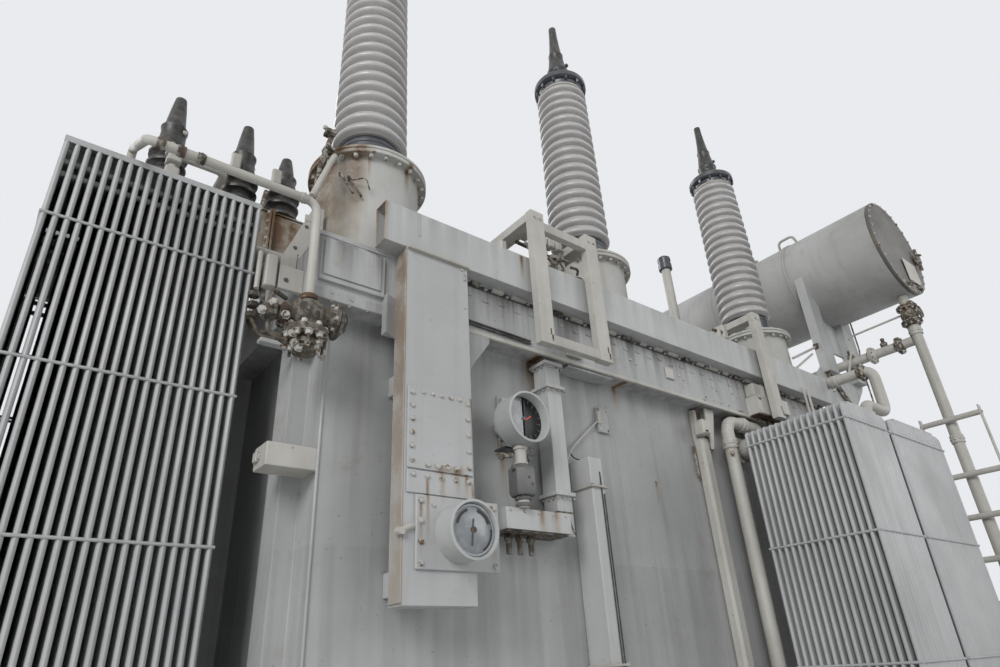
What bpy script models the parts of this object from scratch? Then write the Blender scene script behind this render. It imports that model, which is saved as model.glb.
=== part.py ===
"""Three-phase oil-filled power transformer, in metres, +Z up.

The origin is on the ground under the middle of the tank. The front, with the cable trough and
the gauges, faces -Y. The row of high-voltage bushings runs along X.
"""

import math

import bmesh
import bpy
from mathutils import Matrix, Vector

# Clearance between two pieces that touch
SEAT = 0.0003

# Tank
TANK_LENGTH = 4.70
TANK_DEPTH = 2.30
WALL_FOOT_Z = 0.30
BAND_FOOT_Z = 3.31
RIM_Z = 3.60
BAND_REACH = 0.13
FOOT_REACH = 0.06
FOOT_HEIGHT = 0.10
COVER_THICKNESS = 0.03
STIFFENER_WIDTH = 0.16
STIFFENER_REACH = 0.09
STIFFENER_LAP = 0.02
END_STIFFENER_PITCH = 0.89
REAR_STIFFENER_X = (-1.20, 0.0)
RIM_BOX_WIDTH = 0.34
RIM_BOX_REACH = 0.02
RIM_BOX_FOOT = 0.035
RIM_LEDGE_DROP = 0.05
END_BRACE = (0.16, 0.18, 0.10)
END_BRACE_TOP_Z = 2.60

# Skids
SKID_WIDTH = 0.26
SKID_FLANGE = 0.03
SKID_WEB = 0.03
SKID_SPACING = 0.85

# Radiators
FIN_PITCH = 0.045
FIN_THICKNESS = 0.026
FIN_FOOT_Z = 0.55
HEADER_SIZE = 0.11
HEADER_PROUD = 0.02
HEADER_SETBACK = 0.10
PIPE_RADIUS = 0.045
FLANGE_RADIUS = 0.10
FLANGE_THICKNESS = 0.03

END_BANK_FINS = 21
END_BANK_WIDTH = 0.80
END_BANK_TOP = 4.02
END_BANK_GAP = 0.05
END_BANK_STANDOFF = 0.275
END_BANK_SETBACK = 0.36
ELBOW_REACH = 0.16

SIDE_BANK_FINS = 16
SIDE_BANK_TOP = 3.10
SIDE_BANK_STANDOFF = 0.25
SIDE_BANK_LEFT_X = 0.618
SIDE_BANK_GAP = 0.06
NARROW_PANEL = 0.585
WIDE_PANEL = 0.84

# High-voltage bushings
BUSHING_X = {"left": -2.055, "middle": -0.22, "right": 2.03}
BUSHING_SETBACK = 0.27
TURRET_RADIUS = 0.30
TURRET_TOP_Z = 4.38
TURRET_FLANGE_RADIUS = 0.35
TURRET_FLANGE = 0.05
COLLAR_RADIUS = 0.185
COLLAR_HEIGHT = 0.20
SHED_COUNT = 18
SHED_RADIUS_FOOT = 0.232
SHED_RADIUS_TOP = 0.215
SHED_DEPTH = 0.04
PORCELAIN_LENGTH = 1.86
CAP_RADIUS = 0.23
CAP_HEIGHT = 0.12
BOOT_FOOT_RADIUS = 0.095
BOOT_TOP_RADIUS = 0.035
BOOT_LENGTH = 0.80
SHED_SIDES = 12
TURRET_SIDES = 20
CAP_SIDES = 14
GAUGE_SIDES = 20

# Low-voltage throat and bushings
THROAT_Y = 0.04
THROAT_WIDTH = 0.48
THROAT_TOP_Z = 4.45
THROAT_DEPTH = 0.36
THROAT_REACH = 0.95
THROAT_NECK = 0.62
LV_BUSHING_X = {"left": -3.03, "middle": -2.57, "right": -2.27}
LV_SHED_COUNT = 4
LV_SHED_RADIUS = 0.12
LV_CORE_RADIUS = 0.08
LV_SHED_PITCH = 0.09
LV_BOOT_LENGTH = {"left": 0.45, "middle": 0.45, "right": 0.30}
LV_COLLAR_RADIUS = 0.15
LV_COLLAR_HEIGHT = 0.03

# Front cable trough
TROUGH_LEFT_X = -2.195
TROUGH_RIGHT_X = 2.20
TROUGH_LIFT = 0.03
TROUGH_HEIGHT = 0.24
TROUGH_DEPTH = 0.10
TROUGH_WALL = 0.006

# Tall control duct under the trough
DUCT_LEFT_X = -2.068
DUCT_WIDTH = 0.365
DUCT_DEPTH = 0.11
DUCT_FOOT_Z = 1.95
DUCT_STANDOFF_Z = (2.05, 2.95)
DUCT_STANDOFF_HEIGHT = 0.10
COVER_PLATE_WIDTH = 0.345
COVER_PLATE_THICKNESS = 0.008
UPPER_PLATE_Z = (2.495, 2.87)
LOWER_PLATE_Z = (2.39, 2.488)

# Gauges
HOOD_RADIUS = 0.132
HOOD_DEPTH = 0.13
HOOD_WALL = 0.008
HOOD_STANDOFF = 0.14
DIAL_X = -1.36
DIAL_Z = 2.845
DIAL_PLATE = (0.24, 0.012, 0.30)
DIAL_PIPE_RADIUS = 0.03
LEVEL_GAUGE_X = -1.80
LEVEL_GAUGE_Z = 2.235
LEVEL_GAUGE_RADIUS = 0.125
LEVEL_GAUGE_DEPTH = 0.13
GAUGE_PLATE = (0.43, 0.012, 0.30)
JUNCTION_BOX = (0.12, 0.12, 0.14)
JUNCTION_BOX_TOP_Z = 2.60
THERMOMETER_PLATE = (0.095, 0.02, 0.16)
THERMOMETER_X = -0.54
THERMOMETER_Z = 3.05

# Square wireways
WIREWAY_SIZE = 0.105
WIREWAY_FLANGE = 0.14
WIREWAY_FLANGE_THICKNESS = 0.02
WIREWAY_X = -1.045
WIREWAY_FOOT_Z = 2.30
WIREWAY_JOINTS = (3.108, 2.504)
WIREWAY_TOP_GAP = 0.03
WIREWAY_ARM = 0.42
RISER_X = -0.805
RISER_WIDTH = 0.10
RISER_DEPTH = 0.13
RISER_FOOT_Z = 1.20
RISER_TOP_Z = 2.74
WALL_CLEARANCE = 0.03

# Post and oil pipe on the wall, left of the side radiators
POST_X = 0.435
POST_WIDTH = 0.11
POST_DEPTH = 0.06
POST_FOOT_Z = 0.45
POST_TOP_Z = 3.05
POST_HEAD = (0.15, 0.12, 0.16)
GUSSET_THICKNESS = 0.02
WALL_PIPE_X = 0.66
WALL_PIPE_STANDOFF = 0.11
WALL_PIPE_FOOT_Z = 0.90
WALL_PIPE_TOP_Z = 3.235
WALL_PIPE_RUN = 0.42

# Trough brackets and terminal box
BRACKET_X = {"left": -1.218, "middle": -0.765, "right": 1.11}
BRACKET_WIDTH = 0.10
BRACKET_THICKNESS = 0.012
BRACKET_LIP = 0.05
BRACKET_GAP = 0.03
BRACKET_TOP_Z = 4.17
BRACKET_FOOT_Z = 3.28
BRACKET_DEPTH = 0.41
BRACKET_BAR = 0.06
TERMINAL_BOX = (0.60, 0.115, 0.30)
TERMINAL_BOX_DROP = 0.32

# Conservator
CONSERVATOR_OFFSET = 0.77
CONSERVATOR_Z = 5.25
CONSERVATOR_RADIUS = 0.512
CONSERVATOR_OVERHANG = 0.76
CONSERVATOR_LENGTH = 3.10
CONSERVATOR_WALL = 0.012
CONSERVATOR_COVER = 0.03
CONSERVATOR_SIDES = 36
SUPPORT_SETBACK = 0.08
SUPPORT_SPACING = 1.75
SUPPORT_WIDTH = 0.98
SUPPORT_HEEL_DROP = 0.24
SADDLE_THICKNESS = 0.02
SADDLE_SIDE_Z = 4.36
SADDLE_FOOT_Z = 4.05
SADDLE_WINDOW = (0.33, 0.22)
SADDLE_WINDOW_Z = 4.17
LEG_WIDTH = 0.18
LEG_DEPTH = 0.08
LEG_FOOT_Z = 4.10
LEG_OFFSETS = (-0.41, 0.16)

# Oil pipes
MAIN_PIPE_RADIUS = 0.045
PIPE_SIDES = 12
PIPE_BEND = 0.10
DRAIN_INSET = 0.11
VALVE_RADIUS = 0.10
VALVE_HEIGHT = 0.17
VALVE_DROP = 0.12
FEED_Z = 4.28
FEED_BACK_Y = -0.30
FEED_FOOT_INSET = 0.25
FEED_SLOPE_DROP = 0.26
TOP_PIPE_GAP = 0.06
TOP_PIPE_RADIUS = 0.021
TOP_PIPE_Z = 3.72
TOP_PIPE_LEFT_X = -3.27
TOP_PIPE_RIGHT_X = -2.53
TOP_PIPE_FOOT_Z = 3.20
TOP_PIPE_RISE = 0.16
VENT_X = -3.077
VENT_REACH = 0.26
VENT_Z = 4.26
VENT_RADIUS = 0.021
FRONT_PIPE_X = 2.30
FRONT_PIPE_SETBACK = 0.16
FRONT_PIPE_REACH = 0.46
FRONT_PIPE_Z = 3.85
FRONT_PIPE_LOW_Z = 3.45
FRONT_PIPE_RETURN = 0.40
RELIEF_X = 1.54
RELIEF_SETBACK = 0.45
RELIEF_TOP_Z = 5.45
RELIEF_RADIUS = 0.045

# Ladder beside the drain pipe
LADDER_WIDTH = 0.47
LADDER_GAP = 0.26
RAIL_SIZE = (0.012, 0.05)
RUNG_RADIUS = 0.025
RUNG_SIDES = 6
RUNG_TOP_Z = (3.46, 2.98, 2.64)
RUNG_PITCH = 0.33
RUNG_FOOT_Z = 0.30
RAIL_TOP_Z = 3.52

# Places that follow from the sizes above
COVER_TOP_Z = RIM_Z + SEAT + COVER_THICKNESS
TANK_FRONT_Y = -TANK_DEPTH / 2
TANK_LEFT_X = -TANK_LENGTH / 2
TANK_RIGHT_X = TANK_LENGTH / 2
BAND_FRONT_Y = TANK_FRONT_Y - BAND_REACH
BUSHING_Y = TANK_FRONT_Y + BUSHING_SETBACK
TROUGH_FOOT_Z = RIM_Z + TROUGH_LIFT
TROUGH_BACK_Y = BAND_FRONT_Y - SEAT
TROUGH_FRONT_Y = TROUGH_BACK_Y - TROUGH_DEPTH
DUCT_FRONT_Y = BAND_FRONT_Y - SEAT - DUCT_DEPTH
CAP_FOOT_Z = TURRET_TOP_Z + SEAT + PORCELAIN_LENGTH + SEAT
THROAT_FRONT_Y = THROAT_Y - THROAT_WIDTH / 2
THROAT_BACK_Y = THROAT_Y + THROAT_WIDTH / 2
CONSERVATOR_X = TANK_RIGHT_X + CONSERVATOR_OFFSET
CONSERVATOR_FRONT_Y = BAND_FRONT_Y - CONSERVATOR_OVERHANG
DRAIN_Y = CONSERVATOR_FRONT_Y + DRAIN_INSET
END_BANK_FRONT_Y = TANK_FRONT_Y + END_BANK_SETBACK


def make_material(name, color, roughness, metallic=0.0):
    material = bpy.data.materials.new(name)
    material.use_nodes = True
    shader = material.node_tree.nodes["Principled BSDF"]
    shader.inputs["Base Color"].default_value = (*color, 1.0)
    shader.inputs["Roughness"].default_value = roughness
    shader.inputs["Metallic"].default_value = metallic
    return material


def add_object(name, mesh_maker, material, smooth=False):
    """Makes an object from a function that fills a bmesh."""
    mesh = bpy.data.meshes.new(name)
    shape = bmesh.new()
    mesh_maker(shape)
    bmesh.ops.remove_doubles(shape, verts=shape.verts, dist=1e-6)
    bmesh.ops.recalc_face_normals(shape, faces=shape.faces)
    shape.to_mesh(mesh)
    shape.free()
    if smooth:
        mesh.shade_smooth()
        mesh.set_sharp_from_angle(angle=math.radians(35))
    piece = bpy.data.objects.new(name, mesh)
    piece.data.materials.append(material)
    bpy.context.scene.collection.objects.link(piece)
    return piece


def combine(target, name, mesh_maker, operation):
    """Joins one more shape to an object, or cuts it out of the object."""
    tool = add_object(name, mesh_maker, target.data.materials[0])
    tool.hide_render = True
    tool.display_type = "WIRE"
    step = target.modifiers.new(name, "BOOLEAN")
    step.operation = operation
    step.solver = "EXACT"
    step.object = tool


def fuse(target, name, mesh_maker):
    combine(target, name, mesh_maker, "UNION")


def cut(target, name, mesh_maker):
    combine(target, name, mesh_maker, "DIFFERENCE")


def add_box(shape, low, high):
    """A box between two opposite corners."""
    low, high = Vector(low), Vector(high)
    made = bmesh.ops.create_cube(shape, size=1.0)
    size = Matrix.Diagonal((*(high - low), 1.0))
    bmesh.ops.transform(shape, matrix=Matrix.Translation((low + high) / 2) @ size, verts=made["verts"])


def linked_verts(seeds):
    """Every vertex joined by edges to the given ones."""
    found = set(seeds)
    waiting = list(seeds)
    while waiting:
        for edge in waiting.pop().link_edges:
            for vert in edge.verts:
                if vert not in found:
                    found.add(vert)
                    waiting.append(vert)
    return found


def add_turned(shape, profile, sides, place):
    """A solid turned about +Z from (radius, height) points, then moved by a matrix."""
    verts = [shape.verts.new((radius, 0.0, height)) for radius, height in profile]
    edges = [shape.edges.new(pair) for pair in zip(verts, verts[1:])]
    bmesh.ops.spin(
        shape,
        geom=verts + edges,
        cent=(0, 0, 0),
        axis=(0, 0, 1),
        angle=math.tau,
        steps=sides,
        use_merge=True,
    )
    bmesh.ops.transform(shape, matrix=place, verts=list(linked_verts(verts)))


def add_extruded(shape, outline, depth, place):
    """A closed outline in the XY plane, extruded along +Z by a depth, then moved by a matrix."""
    verts = [shape.verts.new((x, y, 0.0)) for x, y in outline]
    face = shape.faces.new(verts)
    made = bmesh.ops.extrude_face_region(shape, geom=[face])
    tops = [item for item in made["geom"] if isinstance(item, bmesh.types.BMVert)]
    bmesh.ops.translate(shape, verts=tops, vec=(0, 0, depth))
    bmesh.ops.transform(shape, matrix=place, verts=verts + tops)


def add_rod(shape, start, end, radius, sides=PIPE_SIDES):
    """A round bar between two points."""
    start, end = Vector(start), Vector(end)
    along = end - start
    place = Matrix.Translation(start) @ along.to_track_quat("Z", "Y").to_matrix().to_4x4()
    profile = [(0, 0), (radius, 0), (radius, along.length), (0, along.length)]
    add_turned(shape, profile, sides, place)


def upright(x, y, z):
    return Matrix.Translation((x, y, z))


def facing(x, y, z):
    """A frame at a point whose +Z looks out of the front wall, towards -Y."""
    return Matrix.Translation((x, y, z)) @ Matrix.Rotation(math.pi / 2, 4, "X")


def round_corners(points, bend):
    """The corner points of a pipe's run, with each corner replaced by an elbow of that reach."""
    points = [Vector(point) for point in points]
    path = [points[0]]
    steps = 4
    for before, corner, after in zip(points, points[1:], points[2:]):
        first = corner + (before - corner).normalized() * bend
        last = corner + (after - corner).normalized() * bend
        for step in range(steps + 1):
            part = step / steps
            path.append(first * (1 - part) ** 2 + corner * 2 * part * (1 - part) + last * part**2)
    path.append(points[-1])
    return path


def pipe_along(name, points, radius, material):
    """A pipe through corner points, with round elbows."""
    path = round_corners(points, PIPE_BEND)
    curve = bpy.data.curves.new(name, "CURVE")
    curve.dimensions = "3D"
    curve.bevel_depth = radius
    curve.bevel_resolution = 2
    curve.use_fill_caps = True
    spline = curve.splines.new("POLY")
    spline.points.add(len(path) - 1)
    for point, place in zip(spline.points, path):
        point.co = (*place, 1.0)
    piece = bpy.data.objects.new(name, curve)
    piece.data.materials.append(material)
    bpy.context.scene.collection.objects.link(piece)
    return piece


def as_mesh(piece):
    """Turns a curve object into a mesh object of the same name, so that shapes can be joined to it."""
    shape = bpy.data.meshes.new_from_object(piece)
    name = piece.name
    material = piece.data.materials[0]
    bpy.data.objects.remove(piece)
    solid = bpy.data.objects.new(name, shape)
    if not shape.materials:
        shape.materials.append(material)
    bpy.context.scene.collection.objects.link(solid)
    return solid


def valve_profile(foot, top):
    """A flanged valve on a vertical pipe: two flanges with the body between them."""
    inner = MAIN_PIPE_RADIUS * 1.5
    rim = FLANGE_THICKNESS
    profile = [(0, foot), (VALVE_RADIUS, foot), (VALVE_RADIUS, foot + rim), (inner, foot + rim)]
    return profile + [(inner, top - rim), (VALVE_RADIUS, top - rim), (VALVE_RADIUS, top), (0, top)]


def build_skids(paint):
    half = SKID_WIDTH / 2
    web = SKID_WEB / 2
    top = WALL_FOOT_Z - SEAT
    outline = [(-half, 0), (half, 0), (half, SKID_FLANGE), (web, SKID_FLANGE)]
    outline += [(web, top - SKID_FLANGE), (half, top - SKID_FLANGE), (half, top), (-half, top)]
    outline += [(-half, top - SKID_FLANGE), (-web, top - SKID_FLANGE)]
    outline += [(-web, SKID_FLANGE), (-half, SKID_FLANGE)]
    lying = Matrix.Rotation(math.pi / 2, 4, "Z") @ Matrix.Rotation(math.pi / 2, 4, "X")
    for name, y in (("front", -SKID_SPACING), ("middle", 0.0), ("rear", SKID_SPACING)):
        place = Matrix.Translation((TANK_LEFT_X, y, 0)) @ lying
        add_object(
            f"skid_{name}",
            lambda shape, place=place: add_extruded(shape, outline, TANK_LENGTH, place),
            paint,
        )


def build_tank(paint):
    """The tank is one mass, with a foot flange and a box-section band under its rim."""

    def body(shape):
        levels = [
            (FOOT_REACH, WALL_FOOT_Z),
            (FOOT_REACH, WALL_FOOT_Z + FOOT_HEIGHT),
            (0.0, WALL_FOOT_Z + FOOT_HEIGHT),
            (0.0, BAND_FOOT_Z),
            (BAND_REACH, BAND_FOOT_Z),
            (BAND_REACH, RIM_Z),
        ]
        rings = []
        for reach, z in levels:
            x, y = TANK_LENGTH / 2 + reach, TANK_DEPTH / 2 + reach
            corners = ((-x, -y, z), (x, -y, z), (x, y, z), (-x, y, z))
            rings.append([shape.verts.new(corner) for corner in corners])
        for lower, upper in zip(rings, rings[1:]):
            for i in range(4):
                j = (i + 1) % 4
                shape.faces.new((lower[i], lower[j], upper[j], upper[i]))
        shape.faces.new(rings[0][::-1])
        shape.faces.new(rings[-1])

    tank = add_object("tank", body, paint)
    foot, top = WALL_FOOT_Z + STIFFENER_LAP, BAND_FOOT_Z + STIFFENER_LAP
    half = STIFFENER_WIDTH / 2

    def stiffeners(shape):
        for i in (-1, 0, 1):
            y = i * END_STIFFENER_PITCH
            for side in (-1, 1):
                wall = side * TANK_LENGTH / 2
                low, high = sorted((wall - side * STIFFENER_LAP, wall + side * STIFFENER_REACH))
                add_box(shape, (low, y - half, foot), (high, y + half, top))
        wall = TANK_DEPTH / 2
        for x in REAR_STIFFENER_X:
            low, high = (x - half, wall - STIFFENER_LAP, foot), (x + half, wall + STIFFENER_REACH, top)
            add_box(shape, low, high)

    def rim_box(shape):
        """A raised box on the band, left of the control duct, over a ledge."""
        left = TANK_LEFT_X - BAND_REACH
        right = left + RIM_BOX_WIDTH
        inside = TANK_FRONT_Y + STIFFENER_LAP
        foot = BAND_FOOT_Z + RIM_BOX_FOOT
        add_box(shape, (left, BAND_FRONT_Y - RIM_BOX_REACH, foot), (right, inside, RIM_Z - STIFFENER_LAP))

    def rim_ledge(shape):
        left = TANK_LEFT_X - BAND_REACH
        right = DUCT_LEFT_X - STIFFENER_LAP
        inside = TANK_FRONT_Y + STIFFENER_LAP
        foot = BAND_FOOT_Z - RIM_LEDGE_DROP
        add_box(shape, (left, BAND_FRONT_Y, foot), (right, inside, BAND_FOOT_Z + RIM_BOX_FOOT / 2))

    fuse(tank, "tank_stiffeners", stiffeners)
    fuse(tank, "tank_rim_box", rim_box)
    fuse(tank, "tank_rim_ledge", rim_ledge)
    width, depth, height = END_BRACE
    low = (TANK_LEFT_X - width - BAND_REACH / 2, TANK_FRONT_Y, END_BRACE_TOP_Z - height)
    high = (TANK_LEFT_X - SEAT, TANK_FRONT_Y + depth - STIFFENER_WIDTH / 4, END_BRACE_TOP_Z)
    add_object("end_brace", lambda shape: add_box(shape, low, high), paint)


def build_cover(paint):
    x, y = TANK_LENGTH / 2 + BAND_REACH, TANK_DEPTH / 2 + BAND_REACH
    low, high = (-x, -y, RIM_Z + SEAT), (x, y, COVER_TOP_Z)
    add_object("cover", lambda shape: add_box(shape, low, high), paint)


def fin_outline(width):
    """A pressed fin seen from above, with its two long edges rounded."""
    half = FIN_THICKNESS / 2
    nose = half * 0.8
    outline = [(0, -half * 0.45), (nose, -half), (width - nose, -half), (width, -half * 0.45)]
    return outline + [(x, -y) for x, y in reversed(outline)]


def build_radiator(name, fins, width, top, place, standoff, paint):
    """One radiator of fins between an upper and a lower box header.

    In its own frame +X runs along the width of a fin and +Y along the stack, towards the tank.
    """
    stack = (fins - 1) * FIN_PITCH + FIN_THICKNESS
    outline = fin_outline(width)

    def make_fins(shape):
        for i in range(fins):
            y = FIN_THICKNESS / 2 + i * FIN_PITCH
            add_extruded(shape, outline, top - FIN_FOOT_Z, place @ Matrix.Translation((0, y, FIN_FOOT_Z)))

    radiator = add_object(name, make_fins, paint)
    centre = width / 2
    lap = 0.004

    def make_headers(shape):
        for low_z in (top - HEADER_SIZE + HEADER_PROUD, FIN_FOOT_Z - HEADER_PROUD):
            low = place @ Vector((HEADER_SETBACK, lap, low_z))
            high = place @ Vector((width - HEADER_SETBACK, stack + HEADER_SIZE * 0.3, low_z + HEADER_SIZE))
            add_box(shape, low, high)

    drop = HEADER_SIZE / 2 - HEADER_PROUD

    def make_pipe(shape, z):
        """A pipe from a header to the tank's wall, with a flange at its end."""
        length = standoff - lap - SEAT
        profile = [(0, 0), (PIPE_RADIUS, 0), (PIPE_RADIUS, length - FLANGE_THICKNESS)]
        profile += [(FLANGE_RADIUS, length - FLANGE_THICKNESS), (FLANGE_RADIUS, length), (0, length)]
        along = Matrix.Translation((centre, stack + lap, z)) @ Matrix.Rotation(-math.pi / 2, 4, "X")
        add_turned(shape, profile, 10, place @ along)

    def make_elbow(shape):
        """The lower leg of a top pipe that comes down on the cover."""
        inner = PIPE_RADIUS * 0.98
        y = stack + standoff + ELBOW_REACH - PIPE_RADIUS
        foot = COVER_TOP_Z + SEAT
        height = top - drop + inner - foot
        profile = [(0, 0), (FLANGE_RADIUS, 0), (FLANGE_RADIUS, FLANGE_THICKNESS)]
        profile += [(inner, FLANGE_THICKNESS), (inner, height), (0, height)]
        add_turned(shape, profile, 10, place @ Matrix.Translation((centre, y, foot)))

    def make_straight(shape):
        start = (centre, stack + lap, top - drop)
        end = (centre, stack + standoff + ELBOW_REACH, top - drop)
        add_rod(shape, place @ Vector(start), place @ Vector(end), PIPE_RADIUS, 10)

    fuse(radiator, f"{name}_headers", make_headers)
    fuse(radiator, f"{name}_foot_pipe", lambda shape: make_pipe(shape, FIN_FOOT_Z + drop))
    if top > RIM_Z:
        fuse(radiator, f"{name}_top_pipe", make_straight)
        fuse(radiator, f"{name}_elbow", make_elbow)
    else:
        fuse(radiator, f"{name}_top_pipe", lambda shape: make_pipe(shape, top - drop))


def build_radiators(paint):
    """Two tall radiators at the left end, and two lower ones on the front and on the rear."""
    end_stack = (END_BANK_FINS - 1) * FIN_PITCH + FIN_THICKNESS
    left_x = TANK_LEFT_X - END_BANK_STANDOFF - end_stack
    for i, name in enumerate(("front", "rear")):
        y = END_BANK_FRONT_Y + i * (END_BANK_WIDTH + END_BANK_GAP)
        place = Matrix(((0, 1, 0, left_x), (1, 0, 0, y), (0, 0, 1, 0), (0, 0, 0, 1)))
        build_radiator(
            f"end_radiator_{name}",
            END_BANK_FINS,
            END_BANK_WIDTH,
            END_BANK_TOP,
            place,
            END_BANK_STANDOFF,
            paint,
        )
    side_stack = (SIDE_BANK_FINS - 1) * FIN_PITCH + FIN_THICKNESS
    wide_x = SIDE_BANK_LEFT_X + NARROW_PANEL + SIDE_BANK_GAP
    for side, sign in (("front", 1), ("rear", -1)):
        y = sign * (TANK_FRONT_Y - SIDE_BANK_STANDOFF - side_stack)
        for name, x, width in (("left", SIDE_BANK_LEFT_X, NARROW_PANEL), ("right", wide_x, WIDE_PANEL)):
            place = Matrix(((1, 0, 0, x), (0, sign, 0, y), (0, 0, 1, 0), (0, 0, 0, 1)))
            build_radiator(
                f"{side}_radiator_{name}",
                SIDE_BANK_FINS,
                width,
                SIDE_BANK_TOP,
                place,
                SIDE_BANK_STANDOFF,
                paint,
            )


def shed_profile(foot, count, pitch, foot_radius, top_radius, depth):
    """A saw-tooth line of rain sheds, each sloping down to a lip."""
    profile = []
    for i in range(count):
        radius = foot_radius + (top_radius - foot_radius) * i / max(count - 1, 1)
        z = foot + i * pitch
        profile.append((radius - depth, z + pitch * 0.02))
        profile.append((radius, z + pitch * 0.16))
    profile.append((top_radius - depth, foot + count * pitch))
    return profile


def build_hv_bushings(paint, porcelain, dark):
    """Three turrets on the cover, each with a porcelain bushing, a cap ring and a boot."""
    base = COVER_TOP_Z + SEAT
    turret = [(0, base), (TURRET_RADIUS, base), (TURRET_RADIUS, TURRET_TOP_Z - TURRET_FLANGE)]
    turret += [(TURRET_FLANGE_RADIUS, TURRET_TOP_Z - TURRET_FLANGE), (TURRET_FLANGE_RADIUS, TURRET_TOP_Z)]
    turret += [(0, TURRET_TOP_Z)]

    foot = TURRET_TOP_Z + SEAT
    top = foot + PORCELAIN_LENGTH
    neck = foot + COLLAR_HEIGHT
    pitch = (PORCELAIN_LENGTH - COLLAR_HEIGHT) / SHED_COUNT
    sheds = shed_profile(neck, SHED_COUNT, pitch, SHED_RADIUS_FOOT, SHED_RADIUS_TOP, SHED_DEPTH)
    body = [(0, foot), (COLLAR_RADIUS, foot), (COLLAR_RADIUS, neck - SEAT), *sheds, (0, top)]

    rim = CAP_FOOT_Z + CAP_HEIGHT
    tip = rim + BOOT_LENGTH
    cap = [(0, CAP_FOOT_Z), (CAP_RADIUS, CAP_FOOT_Z), (CAP_RADIUS, rim)]
    cap += [(BOOT_FOOT_RADIUS, rim + CAP_HEIGHT * 0.3)]
    cap += [(BOOT_FOOT_RADIUS, rim + BOOT_LENGTH * 0.35), (BOOT_TOP_RADIUS, tip), (0, tip)]

    for name, x in BUSHING_X.items():
        place = upright(x, BUSHING_Y, 0)
        parts = (
            ("turret", turret, TURRET_SIDES, paint),
            ("bushing", body, SHED_SIDES, porcelain),
            ("terminal", cap, CAP_SIDES, dark),
        )
        for part, profile, sides, material in parts:
            add_object(
                f"{part}_{name}",
                lambda shape, p=profile, n=sides, m=place: add_turned(shape, p, n, m),
                material,
                True,
            )


def build_lv_side(paint, dark):
    """A throat that rises from the cover and reaches over the end radiators, with three bushings on it."""
    foot = COVER_TOP_Z + SEAT
    under = THROAT_TOP_Z - THROAT_DEPTH
    right = TANK_LEFT_X + THROAT_NECK
    left = TANK_LEFT_X - THROAT_REACH
    inset = 0.02
    outline = [(TANK_LEFT_X + inset, foot), (right, foot), (right, THROAT_TOP_Z), (left, THROAT_TOP_Z)]
    outline += [(left, under), (TANK_LEFT_X + inset, under)]
    place = facing(0, THROAT_BACK_Y, 0)
    add_object("lv_throat", lambda shape: add_extruded(shape, outline, THROAT_WIDTH, place), paint)
    z = THROAT_TOP_Z + SEAT
    neck = z + LV_COLLAR_HEIGHT
    depth = LV_SHED_RADIUS - LV_CORE_RADIUS
    top = neck + LV_SHED_COUNT * LV_SHED_PITCH
    sheds = shed_profile(neck, LV_SHED_COUNT, LV_SHED_PITCH, LV_SHED_RADIUS, LV_SHED_RADIUS, depth)
    body = [(0, z), (LV_COLLAR_RADIUS, z), (LV_COLLAR_RADIUS, neck - SEAT), *sheds]
    body += [(LV_CORE_RADIUS, top + LV_COLLAR_HEIGHT)]
    for name, x in LV_BUSHING_X.items():
        place = upright(x, THROAT_Y, 0)
        length = LV_BOOT_LENGTH[name]
        line = [*body, (LV_CORE_RADIUS, top + length / 3), (BOOT_TOP_RADIUS, top + length)]
        line += [(0, top + length)]
        add_object(
            f"lv_bushing_{name}",
            lambda shape, m=place, p=line: add_turned(shape, p, PIPE_SIDES, m),
            dark,
            True,
        )


def build_trough(paint):
    """The trough is a square tube, open at both ends."""
    low_z, high_z = TROUGH_FOOT_Z, TROUGH_FOOT_Z + TROUGH_HEIGHT
    corners = ((-1, low_z), (1, low_z), (1, high_z), (-1, high_z))
    middle_y = (TROUGH_FRONT_Y + TROUGH_BACK_Y) / 2

    def tube(shape):
        loops = []
        for x in (TROUGH_LEFT_X, TROUGH_RIGHT_X):
            for inset in (0.0, TROUGH_WALL):
                half = TROUGH_DEPTH / 2 - inset
                loop = []
                for side, z in corners:
                    inner_z = z + inset if z == low_z else z - inset
                    loop.append(shape.verts.new((x, middle_y + side * half, inner_z)))
                loops.append(loop)
        left_out, left_in, right_out, right_in = loops
        pairs = ((left_out, right_out), (right_out, right_in), (right_in, left_in), (left_in, left_out))
        for first, second in pairs:
            for i in range(4):
                j = (i + 1) % 4
                shape.faces.new((first[i], first[j], second[j], second[i]))

    add_object("cable_trough", tube, paint)


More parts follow.
